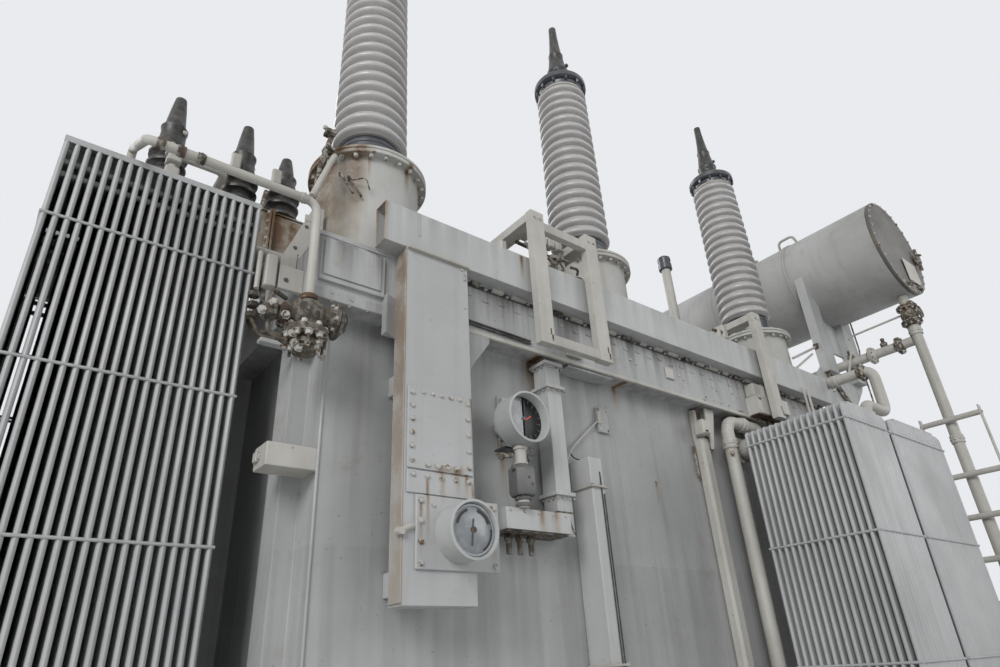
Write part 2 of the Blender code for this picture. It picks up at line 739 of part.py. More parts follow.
def build_control_duct(paint):
    """A wide upright duct under the trough, with two bolted covers and a level gauge on its front."""
    right = DUCT_LEFT_X + DUCT_WIDTH
    middle = DUCT_LEFT_X + DUCT_WIDTH / 2
    back = BAND_FRONT_Y - SEAT
    top = TROUGH_FOOT_Z - SEAT

    def duct(shape):
        add_box(shape, (DUCT_LEFT_X, DUCT_FRONT_Y, DUCT_FOOT_Z), (right, back, top))

    def standoffs(shape):
        inset = DUCT_WIDTH / 8
        half = DUCT_STANDOFF_HEIGHT / 2
        for z in DUCT_STANDOFF_Z:
            low = (DUCT_LEFT_X + inset, back - STIFFENER_LAP, z - half)
            add_box(shape, low, (right - inset, TANK_FRONT_Y - SEAT, z + half))

    control = add_object("control_duct", duct, paint)
    fuse(control, "duct_standoffs", standoffs)
    half = COVER_PLATE_WIDTH / 2
    front = DUCT_FRONT_Y - SEAT
    for name, (low_z, high_z) in (("upper", UPPER_PLATE_Z), ("lower", LOWER_PLATE_Z)):
        low = (middle - half, front - COVER_PLATE_THICKNESS, low_z)
        high = (middle + half, front, high_z)
        add_object(f"duct_cover_{name}", lambda shape, low=low, high=high: add_box(shape, low, high), paint)

    width, thickness, height = GAUGE_PLATE
    place = facing(LEVEL_GAUGE_X, front - thickness / 2, LEVEL_GAUGE_Z)

    def plate(shape):
        low = (LEVEL_GAUGE_X - width / 2, front - thickness, LEVEL_GAUGE_Z - height / 2)
        add_box(shape, low, (LEVEL_GAUGE_X + width / 2, front, LEVEL_GAUGE_Z + height / 2))

    gauge = add_object("level_gauge", plate, paint)
    hood = hood_profile(LEVEL_GAUGE_RADIUS, LEVEL_GAUGE_DEPTH, 0.85)
    fuse(gauge, "level_gauge_hood", lambda shape: add_turned(shape, hood, GAUGE_SIDES, place))


def hood_profile(radius, depth, foot_share):
    """A round case that widens to a hood, open in front over its dial."""
    foot = radius * foot_share
    inner = radius - HOOD_WALL
    profile = [(0, 0), (foot, 0), (radius, depth * 0.25), (radius, depth)]
    return profile + [(inner, depth), (inner, depth * 0.6), (0, depth * 0.6)]


def build_dial_gauge(paint, pale, dark):
    """A hooded dial on a wall plate, with a pipe down to a cast box and on to the duct's arm below."""
    wall = TANK_FRONT_Y - SEAT
    width, thickness, height = DIAL_PLATE
    low = (DIAL_X, wall - thickness, DIAL_Z - height / 3)

    def bracket(shape):
        add_box(shape, low, (DIAL_X + width, wall, low[2] + height))

    def stem(shape):
        start = (DIAL_X + DIAL_PIPE_RADIUS * 2, wall - thickness / 2, DIAL_Z)
        add_rod(shape, start, (start[0], wall - HOOD_STANDOFF, DIAL_Z), DIAL_PIPE_RADIUS * 1.5)

    support = add_object("dial_bracket", bracket, paint)
    fuse(support, "dial_stem", stem)
    place = facing(DIAL_X, wall - HOOD_STANDOFF - SEAT, DIAL_Z)
    hood = hood_profile(HOOD_RADIUS, HOOD_DEPTH, 0.8)
    add_object("dial_gauge", lambda shape: add_turned(shape, hood, GAUGE_SIDES, place), pale, True)

    width, depth, height = JUNCTION_BOX
    y = wall - HOOD_STANDOFF - HOOD_DEPTH / 4
    low = (DIAL_X - width / 2, y - depth / 2, JUNCTION_BOX_TOP_Z - height)
    arm_top = WIREWAY_FOOT_Z + WIREWAY_SIZE

    def box(shape):
        add_box(shape, low, (low[0] + width, low[1] + depth, JUNCTION_BOX_TOP_Z))

    def tubes(shape):
        top = DIAL_Z - HOOD_RADIUS - SEAT
        add_rod(shape, (DIAL_X, y, arm_top + SEAT), (DIAL_X, y, top), DIAL_PIPE_RADIUS)

    junction = add_object("junction_box", box, dark)
    fuse(junction, "dial_pipe", tubes)

    width, depth, height = THERMOMETER_PLATE
    low = (THERMOMETER_X - width / 2, wall - depth, THERMOMETER_Z - height / 2)
    high = (low[0] + width, wall, low[2] + height)
    add_object("thermometer_plate", lambda shape: add_box(shape, low, high), paint)


def build_wireways(paint):
    """Two square ducts on the wall, one of them with an arm to the left at its foot."""
    back = TANK_FRONT_Y - WALL_CLEARANCE
    half = WIREWAY_SIZE / 2
    top = BAND_FOOT_Z - WIREWAY_TOP_GAP

    def duct(shape):
        low = (WIREWAY_X - half, back - WIREWAY_SIZE, WIREWAY_FOOT_Z)
        add_box(shape, low, (WIREWAY_X + half, back, top))

    def joints(shape):
        flange = WIREWAY_FLANGE / 2
        middle = back - half
        for z in (*WIREWAY_JOINTS, top - WIREWAY_TOP_GAP):
            low = (WIREWAY_X - flange, middle - flange, z)
            rear = min(middle + flange, TANK_FRONT_Y - SEAT)
            add_box(shape, low, (WIREWAY_X + flange, rear, z + WIREWAY_FLANGE_THICKNESS))

    def arm(shape):
        lap = 0.004
        low = (WIREWAY_X - WIREWAY_ARM, back - WIREWAY_SIZE - WALL_CLEARANCE, WIREWAY_FOOT_Z + lap)
        add_box(shape, low, (WIREWAY_X, TANK_FRONT_Y - SEAT, WIREWAY_FOOT_Z + WIREWAY_SIZE))

    wireway = add_object("wireway", duct, paint)
    fuse(wireway, "wireway_joints", joints)
    fuse(wireway, "wireway_arm", arm)

    def riser(shape):
        low = (RISER_X - RISER_WIDTH / 2, back - RISER_DEPTH, RISER_FOOT_Z)
        add_box(shape, low, (RISER_X + RISER_WIDTH / 2, TANK_FRONT_Y - SEAT, RISER_TOP_Z))

    add_object("cable_riser", riser, paint)


def build_wall_post(paint, pale):
    """An upright post with a head and a gusset under the band, and an oil pipe beside it."""
    wall = TANK_FRONT_Y - SEAT
    half = POST_WIDTH / 2

    def post(shape):
        add_box(shape, (POST_X - half, wall - POST_DEPTH, POST_FOOT_Z), (POST_X + half, wall, POST_TOP_Z))

    def head(shape):
        width, depth, height = POST_HEAD
        foot = POST_TOP_Z - STIFFENER_LAP
        add_box(shape, (POST_X - width / 2, wall - depth, foot), (POST_X + width / 2, wall, foot + height))

    def gusset(shape):
        top = BAND_FOOT_Z - SEAT
        reach = BAND_REACH - SEAT
        outline = [(wall, POST_TOP_Z), (wall - reach / 2, POST_TOP_Z), (wall - reach, top), (wall, top)]
        side = POST_X + half - GUSSET_THICKNESS
        turned = Matrix(((0, 0, 1, side), (1, 0, 0, 0), (0, 1, 0, 0), (0, 0, 0, 1)))
        add_extruded(shape, outline, GUSSET_THICKNESS, turned)

    wall_post = add_object("wall_post", post, paint)
    fuse(wall_post, "post_head", head)
    fuse(wall_post, "post_gusset", gusset)
    y = TANK_FRONT_Y - WALL_PIPE_STANDOFF
    end_x = WALL_PIPE_X + WALL_PIPE_RUN
    pipe_along(
        "wall_oil_pipe",
        [
            (WALL_PIPE_X, wall, WALL_PIPE_FOOT_Z),
            (WALL_PIPE_X, y, WALL_PIPE_FOOT_Z),
            (WALL_PIPE_X, y, WALL_PIPE_TOP_Z),
            (end_x, y, WALL_PIPE_TOP_Z),
            (end_x, wall, WALL_PIPE_TOP_Z),
        ],
        MAIN_PIPE_RADIUS,
        pale,
    )


def build_brackets(paint):
    """Angle frames that stand on the cover and straddle the trough, and the terminal box behind one."""
    lip_back = TROUGH_FRONT_Y - BRACKET_GAP
    face = lip_back - BRACKET_LIP
    web = face + BRACKET_THICKNESS
    back = face + BRACKET_DEPTH
    half = BRACKET_WIDTH / 2
    lap = 0.003
    frames = {}
    for name, x in BRACKET_X.items():

        def leg(shape, x=x):
            left, right = x - half, x + half
            outline = [(left, face), (right, face), (right, lip_back), (right - BRACKET_THICKNESS, lip_back)]
            outline += [(right - BRACKET_THICKNESS, web), (left + BRACKET_THICKNESS, web)]
            outline += [(left + BRACKET_THICKNESS, lip_back), (left, lip_back)]
            add_extruded(shape, outline, BRACKET_TOP_Z - BRACKET_FOOT_Z, upright(0, 0, BRACKET_FOOT_Z))

        def top_member(shape, x=x):
            low = (x - half + lap, face + BRACKET_THICKNESS / 2, BRACKET_TOP_Z - BRACKET_BAR)
            add_box(shape, low, (x + half - lap, back, BRACKET_TOP_Z - lap))

        def post(shape, x=x):
            low = (x - half + lap * 2, back - BRACKET_BAR, COVER_TOP_Z + SEAT)
            add_box(shape, low, (x + half - lap * 2, back - lap, BRACKET_TOP_Z - BRACKET_BAR / 2))

        frames[name] = add_object(f"trough_bracket_{name}", leg, paint)
        fuse(frames[name], f"bracket_top_{name}", top_member)
        fuse(frames[name], f"bracket_post_{name}", post)

    start = BRACKET_X["left"] + half - BRACKET_THICKNESS / 2
    end = BRACKET_X["middle"] - half - SEAT

    def cross_bars(shape):
        top = BRACKET_TOP_Z - BRACKET_BAR
        for low_z in (top - BRACKET_BAR, BRACKET_FOOT_Z + lap):
            add_box(shape, (start, face + lap, low_z), (end, lip_back - lap, low_z + BRACKET_BAR))

    fuse(frames["left"], "bracket_cross_bars", cross_bars)
    width, depth, height = TERMINAL_BOX
    x = BRACKET_X["right"]
    low = (x - width / 2, BAND_FRONT_Y - SEAT - depth, TROUGH_FOOT_Z - TERMINAL_BOX_DROP)
    high = (x + width / 2, BAND_FRONT_Y - SEAT, low[2] + height)
    add_object("terminal_box", lambda shape: add_box(shape, low, high), paint)


def build_conservator(paint):
    """A long drum off the tank's right end, its ends bolted on."""
    r, wall, cover = CONSERVATOR_RADIUS, CONSERVATOR_WALL, CONSERVATOR_COVER
    length = CONSERVATOR_LENGTH
    start = Matrix.Translation((CONSERVATOR_X, CONSERVATOR_FRONT_Y, CONSERVATOR_Z))
    axis = start @ Matrix.Rotation(-math.pi / 2, 4, "X")

    def shell(shape):
        low, high = cover + SEAT, length - cover - SEAT
        ring = [(r - wall, low), (r, low), (r, high), (r - wall, high)]
        verts = [shape.verts.new((radius, 0.0, height)) for radius, height in ring]
        edges = [shape.edges.new((verts[i], verts[(i + 1) % 4])) for i in range(4)]
        bmesh.ops.spin(
            shape,
            geom=verts + edges,
            cent=(0, 0, 0),
            axis=(0, 0, 1),
            angle=math.tau,
            steps=CONSERVATOR_SIDES,
            use_merge=True,
        )
        bmesh.ops.transform(shape, matrix=axis, verts=shape.verts)

    add_object("conservator_shell", shell, paint, True)
    near = [(0, 0), (r, 0), (r, cover), (0, cover)]
    far = [(0, length - cover), (r, length - cover), (r, length), (0, length)]
    for name, profile in (("front", near), ("rear", far)):
        add_object(
            f"conservator_{name}_end",
            lambda shape, p=profile: add_turned(shape, p, CONSERVATOR_SIDES, axis),
            paint,
            True,
        )


def under_drum(left, right):
    """The line of the drum's underside between two places along X, on the drum's own facets."""
    r = CONSERVATOR_RADIUS + SEAT * 2
    step = math.tau / CONSERVATOR_SIDES
    corners = []
    for i in range(CONSERVATOR_SIDES // 2, CONSERVATOR_SIDES + 1):
        corners.append((CONSERVATOR_X + r * math.cos(i * step), CONSERVATOR_Z + r * math.sin(i * step)))

    def height(x):
        for (x0, z0), (x1, z1) in zip(corners, corners[1:]):
            if x0 <= x <= x1:
                return z0 + (z1 - z0) * (x - x0) / (x1 - x0)
        return CONSERVATOR_Z

    inner = [corner for corner in corners if left < corner[0] < right]
    return [(left, height(left)), *inner, (right, height(right))]


def build_supports(paint):
    """Each saddle hangs on the tank's end band and carries the drum, with two legs before its plate."""
    wall = TANK_RIGHT_X + BAND_REACH + SEAT
    left = CONSERVATOR_X - SUPPORT_WIDTH / 2 - SADDLE_THICKNESS / 2
    right = left + SUPPORT_WIDTH
    heel = RIM_Z - SUPPORT_HEEL_DROP
    window_width, window_height = SADDLE_WINDOW
    outline = under_drum(left, right)
    outline += [(right, SADDLE_SIDE_Z), (right - LEG_WIDTH - 0.05, SADDLE_FOOT_Z)]
    outline += [(wall + BAND_REACH, heel), (wall, heel), (wall, SADDLE_FOOT_Z), (left, SADDLE_WINDOW_Z)]
    front_y = BAND_FRONT_Y + SUPPORT_SETBACK
    for name, y, sign in (("front", front_y, -1), ("rear", front_y + SUPPORT_SPACING, 1)):
        place = facing(0, y + SADDLE_THICKNESS / 2, 0)
        support = add_object(
            f"conservator_support_{name}",
            lambda shape, p=place: add_extruded(shape, outline, SADDLE_THICKNESS, p),
            paint,
        )

        def window(shape, y=y):
            edge = CONSERVATOR_X + LEG_OFFSETS[1] - LEG_WIDTH / 2
            low = (edge - window_width, y - SADDLE_THICKNESS, SADDLE_WINDOW_Z)
            high = (edge, y + SADDLE_THICKNESS, SADDLE_WINDOW_Z + window_height)
            add_box(shape, low, high)

        cut(support, f"saddle_window_{name}", window)
        for offset in LEG_OFFSETS:
            centre = CONSERVATOR_X + offset
            leg = under_drum(centre - LEG_WIDTH / 2, centre + LEG_WIDTH / 2)
            leg += [(centre + LEG_WIDTH / 2, LEG_FOOT_Z), (centre - LEG_WIDTH / 2, LEG_FOOT_Z)]
            back = y if sign < 0 else y + LEG_DEPTH
            place = facing(0, back, 0)
            fuse(
                support,
                f"leg_{name}_{offset}",
                lambda shape, o=leg, p=place: add_extruded(shape, o, LEG_DEPTH, p),
            )


def build_oil_lines(pale):
    """The drain pipe with its valve, the feed from it to the cover, and the relief pipe."""
    drum_foot = under_drum(CONSERVATOR_X - SEAT, CONSERVATOR_X + SEAT)[0][1]
    valve_top = drum_foot - VALVE_DROP
    profile = [(0, 0), (MAIN_PIPE_RADIUS, 0), (MAIN_PIPE_RADIUS, valve_top - VALVE_HEIGHT)]
    profile += valve_profile(valve_top - VALVE_HEIGHT, valve_top)[1:-1]
    profile += [(MAIN_PIPE_RADIUS, valve_top), (MAIN_PIPE_RADIUS, drum_foot), (0, drum_foot)]
    place = upright(CONSERVATOR_X, DRAIN_Y, 0)
    add_object("drain_pipe", lambda shape: add_turned(shape, profile, PIPE_SIDES, place), pale, True)

    foot_x = TANK_RIGHT_X - FEED_FOOT_INSET
    pipe_along(
        "conservator_pipe",
        [
            (CONSERVATOR_X, DRAIN_Y + MAIN_PIPE_RADIUS + SEAT, FEED_Z),
            (CONSERVATOR_X, FEED_BACK_Y, FEED_Z),
            (foot_x, FEED_BACK_Y, FEED_Z - FEED_SLOPE_DROP),
            (foot_x, FEED_BACK_Y, COVER_TOP_Z + SEAT),
        ],
        MAIN_PIPE_RADIUS,
        pale,
    )
    base = COVER_TOP_Z + SEAT
    cap_radius = RELIEF_RADIUS * 1.5
    cap_foot = RELIEF_TOP_Z - 0.16
    relief = [(0, base), (RELIEF_RADIUS * 2, base), (RELIEF_RADIUS * 2, base + FLANGE_THICKNESS)]
    relief += [(RELIEF_RADIUS, base + FLANGE_THICKNESS), (RELIEF_RADIUS, cap_foot), (cap_radius, cap_foot)]
    relief += [(cap_radius, RELIEF_TOP_Z - FLANGE_THICKNESS), (0, RELIEF_TOP_Z)]
    place = upright(RELIEF_X, BUSHING_Y + RELIEF_SETBACK, 0)
    add_object("relief_pipe", lambda shape: add_turned(shape, relief, PIPE_SIDES, place), pale, True)


def build_header_pipes(pale):
    """The pipes over the radiators, one of them down to a valve before the tank's corner."""
    radiator_top = END_BANK_TOP + HEADER_PROUD + SEAT
    first_y = END_BANK_FRONT_Y + HEADER_SETBACK + MAIN_PIPE_RADIUS
    y = BAND_FRONT_Y - TOP_PIPE_GAP
    header = pipe_along(
        "top_header_pipe",
        [
            (TOP_PIPE_LEFT_X, first_y, radiator_top),
            (TOP_PIPE_LEFT_X, first_y, radiator_top + TOP_PIPE_RISE),
            (TOP_PIPE_LEFT_X, y, TOP_PIPE_Z),
            (TOP_PIPE_RIGHT_X, y, TOP_PIPE_Z),
            (TOP_PIPE_RIGHT_X, y, TOP_PIPE_FOOT_Z),
        ],
        TOP_PIPE_RADIUS,
        pale,
    )
    header = as_mesh(header)
    place = upright(TOP_PIPE_RIGHT_X, y, 0)
    profile = valve_profile(TOP_PIPE_FOOT_Z - VALVE_HEIGHT, TOP_PIPE_FOOT_Z + FLANGE_THICKNESS)
    fuse(header, "header_valve", lambda shape: add_turned(shape, profile, PIPE_SIDES, place))
    middle = TOP_PIPE_FOOT_Z - VALVE_HEIGHT / 2

    def branch(shape):
        neck = TOP_PIPE_RIGHT_X + VALVE_RADIUS
        end = neck + FLANGE_THICKNESS
        add_rod(shape, (TOP_PIPE_RIGHT_X, y, middle), (neck, y, middle), MAIN_PIPE_RADIUS)
        add_rod(shape, (neck - SEAT, y, middle), (end, y, middle), MAIN_PIPE_RADIUS * 1.8)

    fuse(header, "header_branch", branch)

    post_foot = (VENT_X, first_y, radiator_top)
    pipe_along(
        "vent_pipe",
        [
            post_foot,
            (VENT_X, first_y, VENT_Z),
            (VENT_X + VENT_REACH, first_y, VENT_Z),
            (VENT_X + VENT_REACH, THROAT_FRONT_Y - SEAT, VENT_Z),
        ],
        VENT_RADIUS,
        pale,
    )
    cover_y = BAND_FRONT_Y + FRONT_PIPE_SETBACK
    front_y = cover_y - FRONT_PIPE_REACH - FRONT_PIPE_SETBACK
    landing_x = FRONT_PIPE_X - FRONT_PIPE_RETURN
    pipe_along(
        "front_header_pipe",
        [
            (FRONT_PIPE_X, cover_y, COVER_TOP_Z + SEAT),
            (FRONT_PIPE_X, cover_y, FRONT_PIPE_Z),
            (FRONT_PIPE_X, front_y, FRONT_PIPE_Z),
            (FRONT_PIPE_X, front_y, FRONT_PIPE_LOW_Z),
            (landing_x, front_y, FRONT_PIPE_LOW_Z),
            (landing_x, front_y, SIDE_BANK_TOP + HEADER_PROUD + SEAT),
        ],
        MAIN_PIPE_RADIUS,
        pale,
    )


def build_ladder(pale):
    """Two flat rails with round rungs, before the drain pipe, from the ground to the radiators' top."""
    thickness, depth = RAIL_SIZE
    x = CONSERVATOR_X - MAIN_PIPE_RADIUS - RUNG_RADIUS - SEAT
    outer_y = DRAIN_Y - LADDER_GAP
    inner_y = outer_y + LADDER_WIDTH

    def rails(shape):
        for y in (outer_y, inner_y):
            low = (x - thickness / 2, y - depth / 2, 0.0)
            add_box(shape, low, (x + thickness / 2, y + depth / 2, RAIL_TOP_Z))

    def rungs(shape):
        heights = list(RUNG_TOP_Z)
        while heights[-1] - RUNG_PITCH > RUNG_FOOT_Z:
            heights.append(heights[-1] - RUNG_PITCH)
        for z in heights:
            add_rod(shape, (x, outer_y - depth / 2, z), (x, inner_y + depth / 2, z), RUNG_RADIUS, RUNG_SIDES)

    ladder = add_object("side_ladder", rails, pale)
    fuse(ladder, "ladder_rungs", rungs)


def main():
    for old in list(bpy.data.objects):
        bpy.data.objects.remove(old)
    paint = make_material("grey tank enamel", (0.48, 0.49, 0.50), 0.45)
    radiator_paint = make_material("grey radiator enamel", (0.42, 0.43, 0.44), 0.5)
    pale = make_material("pale pipe enamel", (0.62, 0.61, 0.58), 0.5)
    porcelain = make_material("grey glazed porcelain", (0.45, 0.45, 0.45), 0.2)
    dark = make_material("dark rubber boot", (0.06, 0.06, 0.06), 0.6)
    cast = make_material("cast grey housing", (0.25, 0.26, 0.27), 0.6)
    build_skids(paint)
    build_tank(paint)
    build_cover(paint)
    build_radiators(radiator_paint)
    build_hv_bushings(paint, porcelain, dark)
    build_lv_side(paint, dark)
    build_trough(paint)
    build_control_duct(paint)
    build_dial_gauge(paint, pale, cast)
    build_wireways(paint)
    build_wall_post(paint, pale)
    build_brackets(pale)
    build_conservator(paint)
    build_supports(paint)
    build_oil_lines(pale)
    build_header_pipes(pale)
    build_ladder(pale)


main()
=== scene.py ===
"""Looks of a three-phase oil-filled power transformer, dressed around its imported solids.

Everything is in metres in the row frame: +Z up, -Y the front with the trough and the gauges, +X
towards the conservator. Each sub-assembly is a class that holds its sizes and builds its pieces.
"""

import logging
import math
from dataclasses import dataclass, field
from enum import Enum
from typing import Any, Callable, Iterable, Sequence

import bmesh
import bpy
import numpy as np
from mathutils import Matrix, Vector


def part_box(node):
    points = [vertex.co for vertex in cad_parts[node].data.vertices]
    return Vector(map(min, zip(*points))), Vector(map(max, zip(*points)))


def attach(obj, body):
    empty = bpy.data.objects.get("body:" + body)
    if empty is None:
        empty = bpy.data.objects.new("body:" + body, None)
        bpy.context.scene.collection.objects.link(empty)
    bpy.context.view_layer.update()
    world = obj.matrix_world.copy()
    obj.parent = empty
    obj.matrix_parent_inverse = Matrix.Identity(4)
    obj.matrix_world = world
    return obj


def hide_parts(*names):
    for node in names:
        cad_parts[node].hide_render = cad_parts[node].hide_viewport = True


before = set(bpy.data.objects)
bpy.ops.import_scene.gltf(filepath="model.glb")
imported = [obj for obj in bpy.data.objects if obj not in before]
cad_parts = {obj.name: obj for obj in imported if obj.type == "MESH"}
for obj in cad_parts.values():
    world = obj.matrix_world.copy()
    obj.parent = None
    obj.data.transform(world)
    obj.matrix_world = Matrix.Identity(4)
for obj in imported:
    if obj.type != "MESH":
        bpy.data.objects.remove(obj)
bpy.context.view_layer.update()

log = logging.getLogger("transformer")

Array = np.ndarray
Point = Sequence[float]
TAU = math.tau

LEFT, RIGHT = (-1, 0, 0), (1, 0, 0)
FRONT, REAR = (0, -1, 0), (0, 1, 0)
DOWN, UP = (0, 0, -1), (0, 0, 1)


# Shapes as arrays


def grid_quads(rows: int, columns: int, wrap_rows: bool = False) -> Array:
    """Quads of a grid whose columns close on themselves.

    Args:
        rows: stations along the shape.
        columns: points around the shape.
        wrap_rows: whether the last row joins the first.

    Returns:
        Indices, one row of four for each quad.
    """
    last = rows if wrap_rows else rows - 1
    i, j = np.meshgrid(np.arange(last), np.arange(columns), indexing="ij")
    after_i, after_j = (i + 1) % rows, (j + 1) % columns
    quads = [i * columns + j, i * columns + after_j, after_i * columns + after_j, after_i * columns + j]
    return np.stack(quads, -1).reshape(-1, 4)


class Shape:
    """Points and faces gathered as whole arrays before they become one mesh."""

    def __init__(self) -> None:
        """Starts empty."""
        self.points: list[Array] = []
        self.quads: list[Array] = []
        self.caps: list[list[int]] = []
        self.count = 0

    def add_grid(self, points: Array, capped: bool = True, wrap_rows: bool = False) -> "Shape":
        """Adds a closed-column grid of points.

        Args:
            points: array of rows, columns and three coordinates.
            capped: whether the first and last rows are closed with a flat face.
            wrap_rows: whether the last row joins the first, as on a ring.

        Returns:
            This shape, so that calls chain.
        """
        rows, columns = points.shape[:2]
        self.points.append(points.reshape(-1, 3))
        self.quads.append(grid_quads(rows, columns, wrap_rows) + self.count)
        if capped and not wrap_rows:
            first = np.arange(columns) + self.count
            self.caps.append(first[::-1].tolist())
            self.caps.append((first + (rows - 1) * columns).tolist())
        self.count += rows * columns
        return self

    def add_copies(self, other: "Shape", places: Array) -> "Shape":
        """Adds copies of another shape, one for each four by four matrix.

        Args:
            other: the shape to repeat.
            places: array of matrices.

        Returns:
            This shape.
        """
        base = np.concatenate(other.points)
        quads = np.concatenate(other.quads)
        turned = np.einsum("nij,pj->npi", places[:, :3, :3], base) + places[:, None, :3, 3]
        steps = np.arange(len(places)) * len(base) + self.count
        self.points.append(turned.reshape(-1, 3))
        self.quads.append((quads[None] + steps[:, None, None]).reshape(-1, 4))
        for cap in other.caps:
            self.caps.extend((np.array(cap)[None] + steps[:, None]).tolist())
        self.count += len(places) * len(base)
        return self

    def merge(self, other: "Shape") -> "Shape":
        """Adds one other shape as it is."""
        return self.add_copies(other, np.eye(4)[None])

    def to_mesh(self, name: str) -> bpy.types.Mesh:
        """Makes the mesh, with its faces turned outwards.

        Args:
            name: the mesh's name.

        Returns:
            The mesh.
        """
        mesh = bpy.data.meshes.new(name)
        faces = np.concatenate(self.quads).tolist() + self.caps
        mesh.from_pydata(np.concatenate(self.points), [], faces)
        work = bmesh.new()
        work.from_mesh(mesh)
        bmesh.ops.recalc_face_normals(work, faces=work.faces)
        work.to_mesh(mesh)
        work.free()
        return mesh


def revolve(profile: Sequence[Point], sides: int) -> Array:
    """A surface turned about Z: x = radius cos t, y = radius sin t, z = height.

    Args:
        profile: (radius, height) points.
        sides: points around.

    Returns:
        Array of rows, sides and three coordinates.
    """
    line = np.asarray(profile, float)
    t = np.arange(sides) * TAU / sides
    radius, height = line[:, :1], line[:, 1:]
    return np.stack([radius * np.cos(t), radius * np.sin(t), height + 0 * t], -1)


def moved(points: Array, place: Matrix) -> Array:
    """Points carried by a four by four matrix."""
    matrix = np.array(place)
    return points @ matrix[:3, :3].T + matrix[:3, 3]


def frame_at(origin: Point, axis: Point) -> Matrix:
    """A frame at a point whose +Z runs along an axis."""
    turn = Vector(axis).to_track_quat("Z", "Y").to_matrix().to_4x4()
    return Matrix.Translation(origin) @ turn


def bent(points: Sequence[Point], reach: float, steps: int = 8) -> Array:
    """The corner points of a run with every inner corner replaced by a round elbow.

    Each elbow is a quadratic blend: (1-t)^2 first + 2t(1-t) corner + t^2 last.

    Args:
        points: the corner points.
        reach: how far from its corner an elbow starts.
        steps: points along an elbow, less one.

    Returns:
        The path's points.
    """
    line = np.asarray(points, float)
    parts = [line[:1]]
    t = np.linspace(0, 1, steps + 1)[:, None]
    for before, corner, after in zip(line, line[1:], line[2:]):
        back, ahead = before - corner, after - corner
        near = min(reach, np.linalg.norm(back) * 0.48, np.linalg.norm(ahead) * 0.48)
        first = corner + back / np.linalg.norm(back) * near
        last = corner + ahead / np.linalg.norm(ahead) * near
        parts.append((1 - t) ** 2 * first + 2 * t * (1 - t) * corner + t**2 * last)
    parts.append(line[-1:])
    return np.concatenate(parts)


def carried(outline: Array, path: Array, side: Point | None = None) -> Array:
    """A closed outline carried along a path, turned to stay square to it.

    At each station the outline's first axis is the path's direction crossed with a reference.

    Args:
        outline: (across, up) points, or one such line for each station.
        path: the stations.
        side: the direction that the outline's second axis keeps to, or None for a round outline.

    Returns:
        Array of stations, outline points and three coordinates.
    """
    steps = np.diff(path, axis=0)
    steps /= np.linalg.norm(steps, axis=1)[:, None]
    ahead = np.concatenate([steps[:1], steps[1:] + steps[:-1], steps[-1:]])
    ahead /= np.linalg.norm(ahead, axis=1)[:, None]
    reference = np.asarray(side if side is not None else (0.34, 0.21, 0.917), float)
    across = np.cross(ahead, reference)
    across /= np.linalg.norm(across, axis=1)[:, None]
    up = np.cross(across, ahead)
    lines = np.broadcast_to(outline, (len(path), *outline.shape[-2:]))
    return path[:, None] + lines[..., :1] * across[:, None] + lines[..., 1:] * up[:, None]


def circle(radius: float, sides: int) -> Array:
    """Points of a circle: (radius cos t, radius sin t)."""
    t = np.arange(sides) * TAU / sides
    return np.stack([radius * np.cos(t), radius * np.sin(t)], -1)


def tube(points: Sequence[Point], radius: float, reach: float = 0.1, sides: int = 20) -> Shape:
    """A round pipe along corner points, with elbows.

    Args:
        points: the corner points.
        radius: the pipe's radius.
        reach: how far from its corner an elbow starts.
        sides: points around.

    Returns:
        The shape.
    """
    return Shape().add_grid(carried(circle(radius, sides), bent(points, reach)))


def rod(start: Point, end: Point, radius: float, sides: int = 12) -> Shape:
    """A straight round bar between two points."""
    return Shape().add_grid(carried(circle(radius, sides), np.array([start, end], float)))


def lathe(profile: Sequence[Point], sides: int, origin: Point, axis: Point = UP) -> Shape:
    """A turned solid set on an axis, its two ends closed.

    Args:
        profile: (radius, height) points, none of them on the axis.
        sides: points around.
        origin: where height 0 lies.
        axis: the direction of height.

    Returns:
        The shape.
    """
    return Shape().add_grid(moved(revolve(profile, sides), frame_at(origin, axis)))


def ring(profile: Sequence[Point], sides: int, origin: Point, axis: Point = UP) -> Shape:
    """A closed section turned into a ring about an axis, hollow in the middle."""
    turned = moved(revolve(profile, sides), frame_at(origin, axis))
    return Shape().add_grid(turned, capped=False, wrap_rows=True)


def cut_corner_outline(half_x: Array, half_y: Array, cut: float) -> Array:
    """A rectangle whose four corners are cut off, as eight points for each pair of half sizes."""
    x, y = np.atleast_1d(half_x)[:, None], np.atleast_1d(half_y)[:, None]
    first = np.stack([x - cut, x, x, x - cut, cut - x, -x, -x, cut - x], 1)[..., 0]
    second = np.stack([-y, cut - y, y - cut, y, y, y - cut, cut - y, -y], 1)[..., 0]
    return np.stack([first, second], -1)


def block(low: Point, high: Point, edge: float = 0.003) -> Shape:
    """A box with every edge eased: four rings of a rectangle with cut corners, the outer two smaller.

    Args:
        low: lowest corner.
        high: highest corner.
        edge: how much each edge is taken off.

    Returns:
        The shape.
    """
    low_point, high_point = np.asarray(low, float), np.asarray(high, float)
    middle, half = (low_point + high_point) / 2, (high_point - low_point) / 2
    edge = min(edge, half.min() * 0.45)
    inset = np.array([edge, 0, 0, edge])
    outline = cut_corner_outline(half[0] - inset, half[1] - inset, edge)
    height = np.array([-half[2], edge - half[2], half[2] - edge, half[2]])
    rings = np.concatenate([outline, np.broadcast_to(height[:, None, None], (4, 8, 1))], -1)
    return Shape().add_grid(rings + middle)


